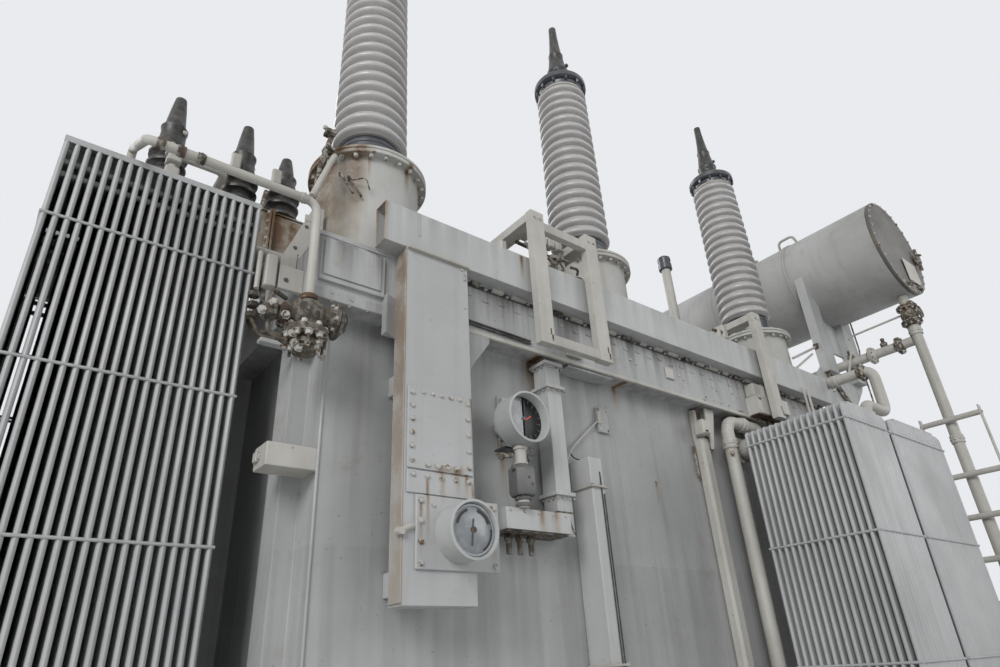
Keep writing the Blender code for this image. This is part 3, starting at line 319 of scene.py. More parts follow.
def slab(outline: Sequence[Point], thickness: float, place: Matrix) -> Shape:
    """A flat plate of any outline, from z 0 to its thickness in a frame."""
    line = np.asarray(outline, float)
    flat = np.broadcast_to(line, (2, *line.shape))
    height = np.broadcast_to(np.array([0, thickness])[:, None, None], (2, len(line), 1))
    return Shape().add_grid(moved(np.concatenate([flat, height], -1), place))


def axes_frame(origin: Point, first: Point, second: Point) -> Matrix:
    """A frame at a point from the directions of its first two axes."""
    a, b = Vector(first).normalized(), Vector(second).normalized()
    turn = Matrix((a, b, a.cross(b))).transposed().to_4x4()
    return Matrix.Translation(origin) @ turn


def upright(outline: Sequence[Point], thickness: float, origin: Point) -> Shape:
    """A flat plate whose outline lies in X and Z, its thickness running to the front."""
    return slab(outline, thickness, axes_frame(origin, RIGHT, UP))


def places_at(points: Array, axis: Point, turns: Array | None = None) -> Array:
    """Matrices that set a shape's +Z along an axis at each point, spun about it by given turns.

    Args:
        points: the places.
        axis: the direction that +Z takes.
        turns: angle of spin at each point, or None for a varied one.

    Returns:
        Array of matrices.
    """
    points = np.asarray(points, float).reshape(-1, 3)
    base = np.array(frame_at((0, 0, 0), axis))
    if turns is None:
        turns = np.arange(len(points)) * 2.4
    turns = np.broadcast_to(turns, len(points))
    spin = np.tile(np.eye(4), (len(points), 1, 1))
    spin[:, 0, 0] = spin[:, 1, 1] = np.cos(turns)
    spin[:, 1, 0] = np.sin(turns)
    spin[:, 0, 1] = -np.sin(turns)
    made = base @ spin
    made[:, :3, 3] = points
    return made


def repeated(shape: Shape, places: Array) -> Shape:
    """Copies of a shape moved to places, unturned."""
    moves = np.tile(np.eye(4), (len(places), 1, 1))
    moves[:, :3, 3] = places
    return Shape().add_copies(shape, moves)


def around(centre: Point, radius: float, count: int, axis: Point, start: float = 0.0) -> Array:
    """Points evenly round a circle: centre + radius (cos t first + sin t second)."""
    t = np.arange(count) * TAU / count + start
    flat = np.stack([radius * np.cos(t), radius * np.sin(t), 0 * t], -1)
    return moved(flat, frame_at(centre, axis))


def hex_bolt(radius: float, height: float | None = None) -> Shape:
    """A hexagonal head on its washer: six-sided rings above round ones.

    Args:
        radius: half the head's width across corners.
        height: the head's height, by default 0.8 of its radius.

    Returns:
        The shape, standing on z 0.
    """
    tall = height or radius * 0.8
    washer = [(radius * 1.35, 0), (radius * 1.35, radius * 0.16), (radius, radius * 0.17)]
    head = [(radius, tall * 0.8), (radius * 0.8, tall)]
    return Shape().add_grid(revolve(washer + head, 6))


def flange_profile(pipe: float, rim: float, thick: float) -> list[tuple[float, float]]:
    """The section of a flat ring round a pipe, its rim eased."""
    ease = thick * 0.15
    edge = [(rim - ease, 0), (rim, ease), (rim, thick - ease), (rim - ease, thick)]
    return [(pipe, 0), *edge, (pipe, thick)]


def collar_profile(radius: float, tall: float, step: float, ease: float) -> list[tuple[float, float]]:
    """The section of a low turned collar, drawn in by a step at both ends."""
    return [(radius - step, 0), (radius, ease), (radius, tall - ease), (radius - step, tall)]


# Colours, finishes and their nodes


def linear(code: str) -> tuple[float, float, float, float]:
    """Turns an sRGB hex colour to linear light.

    Args:
        code: six hex digits after a hash.

    Returns:
        Red, green, blue and an alpha of one.
    """
    parts = np.array([int(code[i : i + 2], 16) for i in (1, 3, 5)]) / 255
    light = np.where(parts <= 0.04045, parts / 12.92, ((parts + 0.055) / 1.055) ** 2.4)
    return (*light.tolist(), 1.0)


Socket = bpy.types.NodeSocket
Tint = tuple[float, float, float, float] | Socket


@dataclass(frozen=True)
class Nodes:
    """The nodes of a material or of the world, added one kind at a time."""

    tree: bpy.types.NodeTree

    def feed(self, node: bpy.types.Node, inputs: dict[Any, Any]) -> None:
        """Links inputs of a node, by name or number, to sockets, or sets their values."""
        for name, value in inputs.items():
            socket = node.inputs[name]
            if isinstance(value, Socket):
                self.tree.links.new(value, socket)
            else:
                socket.default_value = value

    def add(self, kind: str, inputs: dict[Any, Any] | None = None, **settings: Any) -> bpy.types.Node:
        """Adds a node with its settings and links.

        Args:
            kind: the node's type name, without its first word.
            inputs: a value or a socket for each input, by name or number.
            settings: properties of the node.

        Returns:
            The node.
        """
        made = self.tree.nodes.new(f"ShaderNode{kind}")
        for name, value in settings.items():
            setattr(made, name, value)
        self.feed(made, inputs or {})
        return made

    def place(self) -> Socket:
        """The Object coordinates, in metres."""
        return self.add("TexCoord").outputs["Object"]

    def noise(self, place: Socket, scale: float, detail: float, roughness: float = 0.5) -> Socket:
        """Fractal noise with a number of lumps in each metre."""
        inputs = {"Vector": place, "Scale": scale, "Detail": detail, "Roughness": roughness}
        return self.add("TexNoise", inputs).outputs[0]

    def ranged(self, value: Socket, low: float, high: float, first: float = 0.0, last: float = 1.0) -> Socket:
        """A value carried from the range low to high over to the range first to last, and clamped."""
        return self.add("MapRange", dict(enumerate((value, low, high, first, last)))).outputs[0]

    def math(self, operation: str, first: float | Socket, second: float | Socket = 0.0) -> Socket:
        """One sum of two values."""
        return self.add("Math", {0: first, 1: second}, operation=operation).outputs[0]

    def mixed(self, share: Socket, first: Tint, second: Tint) -> Socket:
        """Two colours mixed by the share of the second."""
        return self.add("Mix", {"Factor": share, 6: first, 7: second}, data_type="RGBA").outputs[2]

    def bump(self, height: Socket, strength: float, depth: float, under: Socket | None = None) -> Socket:
        """A surface raised by a height, in metres, over another bump or over none."""
        inputs = {"Height": height, "Strength": strength, "Distance": depth}
        return self.add("Bump", inputs if under is None else {**inputs, "Normal": under}).outputs[0]


def new_material(name: str) -> tuple[bpy.types.Material, Nodes, bpy.types.Node]:
    """Makes a material with its shader.

    Args:
        name: the material's name.

    Returns:
        The material, its nodes and its Principled shader.
    """
    material = bpy.data.materials.new(name)
    material.use_nodes = True
    return material, Nodes(material.node_tree), material.node_tree.nodes["Principled BSDF"]


@dataclass(frozen=True)
class Run:
    """A level from which dirt and rust run down, and how far they get, in metres."""

    top: float
    length: float
    strength: float = 1.0

    def add(self, nodes: Nodes, height: Socket, rain: Socket, so_far: Socket) -> Socket:
        """Adds the run's dirt: full under its level, fading downwards, broken up by the rain.

        Args:
            nodes: the material's nodes.
            height: the place along Z.
            rain: the noise of the rain runs.
            so_far: the dirt of the runs before.

        Returns:
            The dirt with this run in it.
        """
        fall = nodes.ranged(height, self.top - self.length, self.top)
        under = nodes.math("LESS_THAN", height, self.top + 0.004)
        wet = nodes.ranged(rain, 0.4, 0.62, 0.0, self.strength)
        dirt = nodes.math("MULTIPLY", nodes.math("MULTIPLY", fall, under), wet)
        return nodes.math("MAXIMUM", so_far, dirt)


@dataclass(frozen=True)
class Drip:
    """One rust run below a fastener, at a place along X."""

    across: float
    top: float
    length: float
    width: float = 0.02

    def add(self, nodes: Nodes, axes: Sequence[Socket], wobble: Socket, so_far: Socket) -> Socket:
        """Adds the drip's rust: full under the fastener, fading downwards and to both sides.

        Args:
            nodes: the material's nodes.
            axes: the place along X, Y and Z.
            wobble: a noise that breaks the drip's edge.
            so_far: the rust before.

        Returns:
            The rust with the drip in it.
        """
        away = nodes.math("ABSOLUTE", nodes.math("SUBTRACT", axes[0], self.across))
        near = nodes.ranged(away, self.width, self.width * 0.2)
        fall = nodes.ranged(axes[2], self.top - self.length, self.top)
        under = nodes.math("LESS_THAN", axes[2], self.top + self.width * 0.5)
        broken = nodes.ranged(wobble, 0.3, 0.54, 0.3)
        rust = nodes.math("MULTIPLY", nodes.math("MULTIPLY", near, fall), under)
        return nodes.math("MAXIMUM", so_far, nodes.math("MULTIPLY", rust, broken))


@dataclass(frozen=True)
class Enamel:
    """Alkyd enamel sprayed on steel plate and chalked by years outdoors: matt, mottled, with grey
    rain runs, rust in patches and drips, and small chips."""

    name: str
    colour: str
    shade: str
    dirt: str = "#4C4B46"
    rust: str = "#5E4024"
    stain: str = "#8C7551"
    primer: str = "#3A2E26"
    mottle: float = 0.5
    streaks: float = 0.45
    rusting: float = 0.35
    chips: float = 0.3
    roughness: float = 0.55
    runs: tuple[Run, ...] = ()
    drips: tuple[Drip, ...] = ()
    slot: str = "tank_enamel"
    mottle_scale: float = 1.7
    rain_scale: tuple[float, float, float] = (16, 16, 0.7)
    rust_scale: float = 5.2
    chip_scale: float = 42.0

    def build(self) -> bpy.types.Material:
        """Makes the material from Object coordinates, in metres.

        Broad mottling is about 0.6 m wide, rain runs are 60 mm wide and 1.5 m long, rust blooms
        0.2 m, and chips are 8 mm, drawn coarser than the real 2 mm so that they show.

        Returns:
            The material.
        """
        material, nodes, shader = new_material(self.name)
        place = nodes.place()
        axes = nodes.add("SeparateXYZ", {0: place}).outputs
        broad = nodes.noise(place, self.mottle_scale, 6, 0.62)
        mottle = nodes.ranged(broad, 0.38, 0.66, 0.0, self.mottle)
        paint = nodes.mixed(mottle, linear(self.colour), linear(self.shade))
        stretched = nodes.add("Mapping", {0: place, "Scale": self.rain_scale}).outputs[0]
        rain = nodes.noise(stretched, 1.0, 5)
        dirt = nodes.math("MULTIPLY", nodes.ranged(rain, 0.5, 0.72), self.streaks * 0.55)
        for run in self.runs:
            dirt = run.add(nodes, axes[2], rain, dirt)
        dirty = nodes.mixed(dirt, paint, linear(self.dirt))
        patch = nodes.noise(place, self.rust_scale, 7, 0.7)
        rust = nodes.ranged(patch, 0.6, 0.72, 0.0, self.rusting)
        for drip in self.drips:
            rust = drip.add(nodes, axes, patch, rust)
        tone = nodes.mixed(nodes.ranged(rust, 0.35, 0.9), linear(self.stain), linear(self.rust))
        pitted = nodes.noise(place, self.chip_scale, 3)
        chip = nodes.ranged(pitted, 0.7, 0.73, 0.0, self.chips)
        final = nodes.mixed(chip, nodes.mixed(rust, dirty, tone), linear(self.primer))
        dull = nodes.ranged(broad, 0.3, 0.7, self.roughness - 0.08, self.roughness + 0.14)
        wavy = nodes.bump(broad, 0.25, 0.01, nodes.bump(pitted, 0.12, 0.002))
        nodes.feed(shader, {"Base Color": final, "Roughness": dull, "Normal": wavy})
        return material


@dataclass(frozen=True)
class Glaze:
    """Glazed porcelain, dipped and fired: a smooth pale grey glass coat over clay, dulled by dust."""

    name: str
    colour: str
    dust: str
    slot: str = "porcelain"
    dust_scale: float = 6.0

    def build(self) -> bpy.types.Material:
        """Makes the material: dust lies in soft patches about 0.2 m wide."""
        material, nodes, shader = new_material(self.name)
        patch = nodes.noise(nodes.place(), self.dust_scale, 5)
        amount = nodes.ranged(patch, 0.38, 0.68, 0.0, 0.6)
        tone = nodes.mixed(amount, linear(self.colour), linear(self.dust))
        dull = nodes.ranged(patch, 0.3, 0.7, 0.22, 0.5)
        coat = {"Coat Weight": 0.2, "Coat Roughness": 0.12, "IOR": 1.52}
        nodes.feed(shader, {"Base Color": tone, "Roughness": dull, **coat})
        return material


@dataclass(frozen=True)
class Rubber:
    """Moulded heat-shrink rubber: dark, slightly shiny, dusty in small grains."""

    name: str
    colour: str
    dust: str
    roughness: float = 0.42
    slot: str = "rubber_boot"
    grain_scale: float = 26.0

    def build(self) -> bpy.types.Material:
        """Makes the material: dust grains are drawn 10 mm wide so that they show."""
        material, nodes, shader = new_material(self.name)
        grains = nodes.noise(nodes.place(), self.grain_scale, 6)
        amount = nodes.ranged(grains, 0.45, 0.75, 0.0, 0.7)
        tone = nodes.mixed(amount, linear(self.colour), linear(self.dust))
        rough = nodes.bump(grains, 0.2, 0.002)
        nodes.feed(shader, {"Base Color": tone, "Roughness": self.roughness, "Normal": rough})
        return material


@dataclass(frozen=True)
class Corroded:
    """Forged steel fasteners and cast fittings, painted once, now half paint and half rust."""

    name: str
    paint: str
    rust: str
    dark: str
    share: float = 0.5
    slot: str = "pipe_enamel"
    bloom_scale: float = 34.0
    tint_scale: float = 11.0

    def build(self) -> bpy.types.Material:
        """Makes the material: rust blooms are about 15 mm across."""
        material, nodes, shader = new_material(self.name)
        place = nodes.place()
        bloom = nodes.noise(place, self.bloom_scale, 5, 0.65)
        warm = nodes.ranged(nodes.noise(place, self.tint_scale, 3), 0.4, 0.62)
        rust = nodes.mixed(warm, linear(self.dark), linear(self.rust))
        edge = 0.62 - self.share * 0.3
        amount = nodes.ranged(bloom, edge - 0.04, edge + 0.05)
        tone = nodes.mixed(amount, linear(self.paint), rust)
        dull = nodes.ranged(amount, 0.0, 1.0, 0.5, 0.85)
        rough = nodes.bump(bloom, 0.5, 0.003)
        nodes.feed(shader, {"Base Color": tone, "Roughness": dull, "Normal": rough})
        return material


class Finish(Enum):
    """The finishes of the transformer, each with the record's slot it belongs to."""

    TANK = Enamel(
        "chalked_tank_enamel", "#A9AAA9", "#919291",
        runs=(Run(3.60, 0.27, 0.8), Run(3.31, 0.35, 0.35), Run(2.20, 1.9, 0.22)),
        drips=(
            Drip(-1.63, 3.60, 0.30, 0.012), Drip(-0.10, 2.72, 0.16, 0.02), Drip(-1.10, 3.30, 0.22, 0.06),
            Drip(0.86, 3.32, 0.24, 0.05), Drip(0.42, 3.34, 0.5, 0.016), Drip(-0.38, 3.31, 0.2, 0.04),
            Drip(-1.34, 2.78, 0.3, 0.03),
        ),
    )
    TROUGH = Enamel(
        "sprayed_trough_enamel", "#B2B3B2", "#9D9E9C", streaks=0.3, rusting=0.22,
        runs=(Run(3.87, 0.3, 0.25),),
        drips=(
            Drip(-2.20, 3.90, 0.5, 0.03), Drip(-1.30, 3.85, 0.16, 0.02),
            Drip(-1.24, 2.44, 0.25, 0.03), Drip(-1.14, 2.43, 0.2, 0.035),
        ),
    )
    DUCT = Enamel(
        "sprayed_duct_enamel", "#ADAEAE", "#9D9E9D", streaks=0.2, rusting=0.2,
        drips=(
            Drip(-1.80, 2.52, 0.14), Drip(-1.88, 2.515, 0.18), Drip(-1.75, 2.49, 0.12),
            Drip(-1.9575, 2.46, 0.30, 0.014), Drip(-1.70, 2.86, 0.25, 0.03), Drip(-1.72, 2.45, 0.2, 0.014),
            Drip(-1.62, 2.36, 0.28, 0.02), Drip(-1.992, 2.355, 0.24, 0.014), Drip(-2.085, 3.62, 3.6, 0.026),
            Drip(-1.885, 2.50, 0.03, 0.05), Drip(-1.80, 2.50, 0.03, 0.05),
        ),
    )
    TURRET = Enamel(
        "stained_turret_enamel", "#B1B1AE", "#9C9990", dirt="#7D6C50", rust="#5E4223", stain="#77623F",
        mottle=0.6, rusting=0.3,
        drips=(
            Drip(-2.37, 4.42, 2.0, 0.20), Drip(-2.25, 4.40, 0.9, 0.08),
            Drip(-2.185, 4.33, 0.18, 0.016), Drip(-1.95, 4.34, 0.2, 0.03),
        ),
    )
    RADIATOR = Enamel(
        "flow_coated_radiator_enamel", "#AAABAB", "#909191",
        mottle=0.45, streaks=0.3, rusting=0.12, chips=0.2, roughness=0.48, slot="radiator_enamel",
    )
    PIPE = Enamel(
        "brushed_pipe_enamel", "#B5B3AD", "#98948B", dirt="#5D5546",
        mottle=0.6, streaks=0.3, rusting=0.4, chips=0.35, slot="pipe_enamel",
    )
    DRUM = Enamel(
        "chalked_drum_enamel", "#A5A5A3", "#8A8A87", mottle=0.55, streaks=0.3, rusting=0.12, chips=0.15
    )
    # The drum's ends: the drum's grey made much darker as painted shade, with more mottling, runs and rust
    # than the shell.
    DRUM_END = Enamel(
        "weathered_drum_end_with_painted_shade", "#62605C", "#4E4B47", mottle=0.8, streaks=0.5, rusting=0.3, chips=0.2
    )
    CAST = Enamel(
        "cast_housing_enamel", "#626361", "#4A4B49",
        streaks=0.2, rusting=0.25, roughness=0.5, slot="cast_housing",
    )
    PORCELAIN = Glaze("glazed_porcelain", "#B1AFAE", "#9D9A97")
    BOOT = Rubber("heat_shrink_rubber", "#262524", "#5A564F")
    # Dark cement bands, caps and small dark parts; also thin dark sheets and discs that paint the shade in
    # the gap under the trough and in the holes of the end plate.
    CEMENT_AND_PAINTED_SHADE = Rubber("dark_cement_and_painted_shade", "#43454A", "#5B5C60", 0.3)
    BOLT = Corroded("rusting_fasteners", "#B0AEA8", "#7B6248", "#50463A", 0.22)
    FITTING = Corroded("corroded_fittings", "#8B877F", "#5D4F40", "#403A33", 0.5)
    VALVE = Corroded("weathered_valve_castings", "#67625A", "#544A3E", "#3A3631", 0.45)
    RUST = Corroded("bare_rusted_steel", "#74604A", "#5C4430", "#382D23", 0.8)
    DIAL_BLACK = Rubber("printed_dial_black", "#0B0B0B", "#121212", 0.5)
    DIAL_WHITE = Rubber("printed_dial_white", "#C9CCCC", "#D8DAD9", 0.4, "pipe_enamel")
    DIAL_ORANGE = Rubber("painted_needle", "#D2512A", "#D9623A", 0.4, "pipe_enamel")
    GAUGE_GLASS = Rubber("dusty_gauge_glass", "#7C8083", "#9A9C9C", 0.18, "tank_enamel")

    @property
    def material(self) -> bpy.types.Material:
        """The finish's material, made when it is first asked for."""
        return bpy.data.materials.get(self.value.name) or self.value.build()

    @property
    def slot(self) -> str:
        """The record's material slot."""
        return self.value.slot


# Pieces


def place_piece(
    name: str,
    form: Shape | bpy.types.Mesh,
    finish: Finish,
    nodes: Iterable[str] = (),
    smooth_angle: float = 35.0,
    bevel: float = 0.0,
) -> bpy.types.Object:
    """Links a form as a piece of the model, with its shading, finish and place in the frame.

    Args:
        name: the piece's name.
        form: its points and faces, or its mesh, in the row frame.
        finish: its finish.
        nodes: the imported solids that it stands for.
        smooth_angle: edges sharper than this stay sharp, in degrees.
        bevel: width of a bevel on sharp edges, or 0 for none.

    Returns:
        The object.
    """
    mesh = form.to_mesh(name) if isinstance(form, Shape) else form
    mesh.shade_smooth()
    mesh.set_sharp_from_angle(angle=math.radians(smooth_angle))
    piece = bpy.data.objects.new(name, mesh)
    piece.data.materials.append(finish.material)
    bpy.context.scene.collection.objects.link(piece)
    if bevel:
        eased = piece.modifiers.new("eased_edges", "BEVEL")
        eased.width = bevel
        eased.segments = 2
        eased.limit_method = "ANGLE"
        eased.angle_limit = math.radians(40)
        eased.use_clamp_overlap = True
        eased.harden_normals = False
    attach(piece, "root")
    finish.slot
    nodes = list(nodes)
    if nodes:
        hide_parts(*nodes)
    log.info("%s: %d faces", name, len(mesh.polygons))
    return piece


def softened(node: str, finish: Finish, width: float = 0.004) -> bpy.types.Object:
    """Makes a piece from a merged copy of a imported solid, its flat faces joined and its edges eased.

    Args:
        node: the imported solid.
        finish: the piece's finish.
        width: width of the bevel.

    Returns:
        The object.
    """
    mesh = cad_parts[node].data.copy()
    mesh.materials.clear()
    mesh.name = f"{node}_plate"
    work = bmesh.new()
    work.from_mesh(mesh)
    bmesh.ops.remove_doubles(work, verts=work.verts, dist=1e-5)
    flat = {"angle_limit": math.radians(0.5), "use_dissolve_boundaries": False}
    bmesh.ops.dissolve_limit(work, verts=work.verts, edges=work.edges, **flat)
    work.to_mesh(mesh)
    work.free()
    return place_piece(f"{node}_plate", mesh, finish, [node], bevel=width)


# Sub-assemblies


@dataclass
class Assembly:
    """Gathers the plates, pipes and fasteners of one sub-assembly, one shape for each finish.

    Its name starts the names of its pieces.
    """

    name: str
    parts: dict[Finish, Shape] = field(default_factory=dict)

    def add(self, finish: Finish, *shapes: Shape) -> None:
        """Adds shapes in a finish."""
        for shape in shapes:
            self.parts.setdefault(finish, Shape()).merge(shape)

    def each(self, finish: Finish, make: Callable[..., Shape], *rows: Sequence[Any]) -> None:
        """Adds one shape for each row of its maker's arguments.

        Args:
            finish: finish of the shapes.
            make: block, rod, tube, lathe, ring, upright or another maker of shapes.
            rows: what the maker takes, one row for each shape.
        """
        self.add(finish, *(make(*row) for row in rows))

    def bolts(
        self, points: Sequence[Point] | Array, axis: Point, radius: float = 0.011, height: float | None = None
    ) -> None:
        """Adds hexagonal heads at points.

        Args:
            points: where they stand.
            axis: the way they point.
            radius: half the width across corners.
            height: the head's height, by default from its width.
        """
        self.add(Finish.BOLT, Shape().add_copies(hex_bolt(radius, height), places_at(points, axis)))

    def bolt_lines(self, axis: Point, *rows: tuple[Point, Point, int, float]) -> None:
        """Adds lines of evenly spaced heads, each by its two ends, its number and its radius."""
        for start, end, count, radius in rows:
            self.bolts(np.linspace(start, end, count), axis, radius)

    def flange(
        self, finish: Finish, centre: Point, axis: Point, pipe: float, rim: float, thick: float
    ) -> None:
        """Adds a pair of flanges with a gasket gap, heads on one side and nuts on the other.

        Args:
            finish: finish of the flanges.
            centre: middle of the joint.
            axis: direction of the pipe.
            pipe: radius of the pipe.
            rim: radius of the flanges.
            thick: thickness of one flange.
        """
        gap = 0.0015
        way, middle = np.asarray(axis, float), np.asarray(centre, float)
        inner, out = pipe * 0.9, way * (thick + gap)
        for shift in (gap, -gap - thick):
            self.add(finish, ring(flange_profile(inner, rim, thick), 32, middle + way * shift, axis))
        neck = [(inner, 0), (pipe * 1.35, 0), (pipe * 1.12, 0.02), (inner, 0.03)]
        self.each(finish, ring, (neck, 24, middle + out, axis), (neck, 24, middle - out, (-way).tolist()))
        size = min(0.012, (rim - pipe) * 0.26)
        spots = around(centre, (rim + pipe) / 2 + size * 0.3, 8, axis, 0.25)
        self.bolts(spots + out, axis, size)
        self.bolts(spots - out, (-way).tolist(), size, size * 1.3)

    def union(self, finish: Finish, centre: Point, axis: Point, radius: float) -> None:
        """Adds a threaded union: two collars with a hexagon between them."""
        r, way = radius, np.asarray(axis, float)
        collar = np.array([(0.9, 0), (1.16, 0), (1.2, 0.06), (1.2, 0.6), (1.16, 0.66), (0.9, 0.66)]) * r
        band = np.array([(1.1, 0), (1.34, 0.04), (1.34, 0.3), (1.1, 0.34)]) * r
        start = np.asarray(centre, float) - way * r * 0.8
        self.each(finish, ring, (collar, 20, start, axis), (collar, 20, start + way * r * 0.9, axis))
        self.add(finish, lathe(band, 8, start + way * r * 0.62, axis))

    def place(self, nodes: Sequence[str] = ()) -> None:
        """Makes one piece for each finish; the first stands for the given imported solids."""
        left = list(nodes)
        for finish, shape in self.parts.items():
            place_piece(f"{self.name}_{finish.name.lower()}", shape, finish, left)
            left = []


# Radiators


@dataclass
class Radiator:
    """A stack of pressed fins between two headers, with flanged pipes to the tank.

    In its own frame +X runs along a fin's width and +Y along the stack towards the tank.
    """

    node: str
    place: Matrix
    fins: int
    width: float
    top: float
    standoff: float
    over_cover: bool
    tie_levels: tuple[float, ...]
    capped: bool = True
    pitch: float = 0.045
    thickness: float = 0.026
    foot: float = 0.55
    header: float = 0.11
    proud: float = 0.02
    setback: float = 0.10
    corner: float = 0.036
    flute: float = 0.045
    nose: float = 0.017
    seam: float = 0.03
    strip: float = 0.034
    spacer: float = 0.014
    pipe: float = 0.045
    rim: float = 0.10
    elbow_reach: float = 0.16
    cover_z: float = 3.6303

    @property
    def stack(self) -> float:
        """Length of the stack from the first fin's face to the last one's."""
        return (self.fins - 1) * self.pitch + self.thickness

    @property
    def pipe_levels(self) -> list[float]:
        """Heights of the straight pipes, in the middle of the headers."""
        drop = self.header / 2 - self.proud
        return [self.foot + drop] if self.over_cover else [self.foot + drop, self.top - drop]

    def fin(self) -> Shape:
        """One pressed fin as a function of height and of the way round its section.

        The half thickness is a rounded nose times (0.74 + 0.26 cos(2 pi width / flute)), times a
        taper to a seam at both ends. There the width draws in along a quarter circle.

        Returns:
            The shape.
        """
        tall = self.top - self.foot
        flutes = max(2, round(self.width / self.flute))
        s = (1 - np.cos(np.linspace(0, np.pi, 30))) / 2
        s = np.unique(np.concatenate([s, np.linspace(0.04, 0.96, flutes * 4 + 1)]))
        rise = np.array([0, 0.12, 0.3, 0.5, 0.75, 1.0]) * self.corner
        v = np.concatenate([rise, tall - rise[::-1]])
        near_end = np.minimum(v, tall - v)
        inside = np.clip(self.corner - near_end, 0, None)
        inset = self.corner - np.sqrt(np.clip(self.corner**2 - inside**2, 0, None))
        taper = 0.3 + 0.7 * np.clip(near_end / self.seam, 0, 1)
        from_edge = np.minimum(s, 1 - s) * self.width
        rounded = np.sqrt(1 - (1 - np.clip(from_edge / self.nose, 0, 1)) ** 2)
        pressed = 0.74 + 0.26 * np.cos(TAU * s * flutes)
        inner = np.clip((from_edge - self.nose) / 0.02, 0, 1)
        half = self.thickness / 2 * rounded * (1 - inner + inner * pressed)
        x = inset[:, None] + s[None] * (self.width - 2 * inset[:, None])
        y = half[None] * taper[:, None]
        one = np.stack([x, y, np.broadcast_to(v[:, None] + self.foot, x.shape)], -1)
        other = one[:, ::-1][:, 1:-1] * np.array([1, -1, 1])
        return Shape().add_grid(np.concatenate([one, other], 1))

    def at(self, shape: Shape) -> Shape:
        """The shape carried from the radiator's own frame to the row frame."""
        return Shape().add_copies(shape, np.array(self.place)[None])

    def build_fins(self) -> Shape:
        """All fins with their headers, the spacers between them and the strips that close them."""
        depth = np.arange(self.fins) * self.pitch + self.thickness / 2
        made = repeated(self.fin(), np.stack([0 * depth, depth, 0 * depth], -1))
        lip, top = 0.006, self.top + self.proud
        for low_z, cap_z in (
            (top - self.header, top - self.strip),
            (self.foot - self.proud, self.foot - self.proud),
        ):
            low = (self.setback, 0.004, low_z)
            high = (self.width - self.setback, self.stack + self.header * 0.3, low_z + self.header)
            made.merge(block(low, high, 0.008))
            for near in (0.012, self.width - 0.012 - lip) if self.capped else ():
                made.merge(block((near, 0.0, cap_z), (near + lip, self.stack, cap_z + self.strip), 0.002))
        if self.capped:
            made.merge(block((0.018, 0.0, top - 0.006), (self.width - 0.018, self.stack, top - 0.001), 0.002))
        spacer = block((0, -self.spacer, -self.spacer), (0.02, self.spacer, self.spacer), 0.005)
        between = depth[:-1] + self.pitch / 2
        for z in (self.top - 0.10, self.top - 0.17, self.foot + 0.12):
            for x in (0.05, self.width - 0.07):
                made.merge(repeated(spacer, np.stack([0 * between + x, between, 0 * between + z], -1)))
        return self.at(made)

    def build_ties(self) -> Shape:
        """Round bars welded across the noses of the fins, on both sides, with their end tabs."""
        made = Shape()
        for level in self.tie_levels:
            for x in (0.002, self.width - 0.002):
                made.merge(rod((x, -0.004, level), (x, self.stack + 0.004, level), 0.007, 10))
            for y in (0.001, self.stack - 0.001):
                made.merge(rod((0.0, y, level), (self.width, y, level), 0.006, 8))
        return self.at(made)

    def build_pipes(self) -> Shape:
        """The pipes and flanges between the headers and the tank."""
        made = Shape()
        centre, bore = self.width / 2, self.pipe - 0.004
        if self.over_cover:
            y = self.stack + self.standoff + self.elbow_reach - self.pipe
            z = self.top - self.header / 2 + self.proud
            foot = self.cover_z + 0.0005
            path = [(centre, self.stack, z), (centre, y, z), (centre, y, foot)]
            made.merge(tube(path, self.pipe, 0.09, 24))
            for level in (foot, foot + 0.024):
                made.merge(ring(flange_profile(bore, self.rim, 0.022), 32, (centre, y, level)))
        end = self.stack + self.standoff
        for z in self.pipe_levels:
            made.merge(rod((centre, self.stack, z), (centre, end - 0.0005, z), self.pipe, 24))
            for back in (0.022, 0.046, 0.16, 0.184):
                start = (centre, end - 0.0005 - back, z)
                made.merge(ring(flange_profile(bore, self.rim, 0.02), 32, start, REAR))
            valve = collar_profile(0.078, 0.09, 0.008, 0.02)
            made.merge(lathe(valve, 24, (centre, end - 0.1455, z), REAR))
        return self.at(made)

    def build_bolts(self) -> Shape:
        """Bolts round the pipes' flanges."""
        made = Shape()
        for z in self.pipe_levels:
            for back in (0.046, 0.184):
                middle = (self.width / 2, self.stack + self.standoff - back, z)
                spots = around(middle, self.rim * 0.82, 8, REAR, 0.2)
                made.add_copies(hex_bolt(0.011), places_at(spots, FRONT))
        return self.at(made)

    def dress(self) -> None:
        """Places the radiator's pieces."""
        place_piece(f"{self.node}_fins", self.build_fins(), Finish.RADIATOR, [self.node])
        place_piece(f"{self.node}_tie_bars", self.build_ties(), Finish.RADIATOR)
        place_piece(f"{self.node}_pipes", self.build_pipes(), Finish.PIPE)
        place_piece(f"{self.node}_bolts", self.build_bolts(), Finish.BOLT)


def radiators() -> list[Radiator]:
    """The six radiators: two tall ones at the left end, two lower ones on the front and the rear."""
    made = []
    end_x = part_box("end_radiator_front")[0].x
    levels = tuple(3.59 - 0.68 * i for i in range(5))
    for name in ("end_radiator_front", "end_radiator_rear"):
        low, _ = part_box(name)
        place = Matrix(((0, 1, 0, end_x), (1, 0, 0, low.y), (0, 0, 1, 0), (0, 0, 0, 1)))
        made.append(Radiator(name, place, 21, 0.80, 4.02, 0.275, True, levels))
    levels = tuple(2.994 - 0.677 * i for i in range(4))
    for side, sign in (("front", 1), ("rear", -1)):
        for hand, width in (("left", 0.585), ("right", 0.84)):
            name = f"{side}_radiator_{hand}"
            low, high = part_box(name)
            y = low.y if sign > 0 else high.y
            place = Matrix(((1, 0, 0, low.x), (0, sign, 0, y), (0, 0, 1, 0), (0, 0, 0, 1)))
            made.append(Radiator(name, place, 16, width, 3.10, 0.25, False, levels, capped=False))
    return made


# Bushings


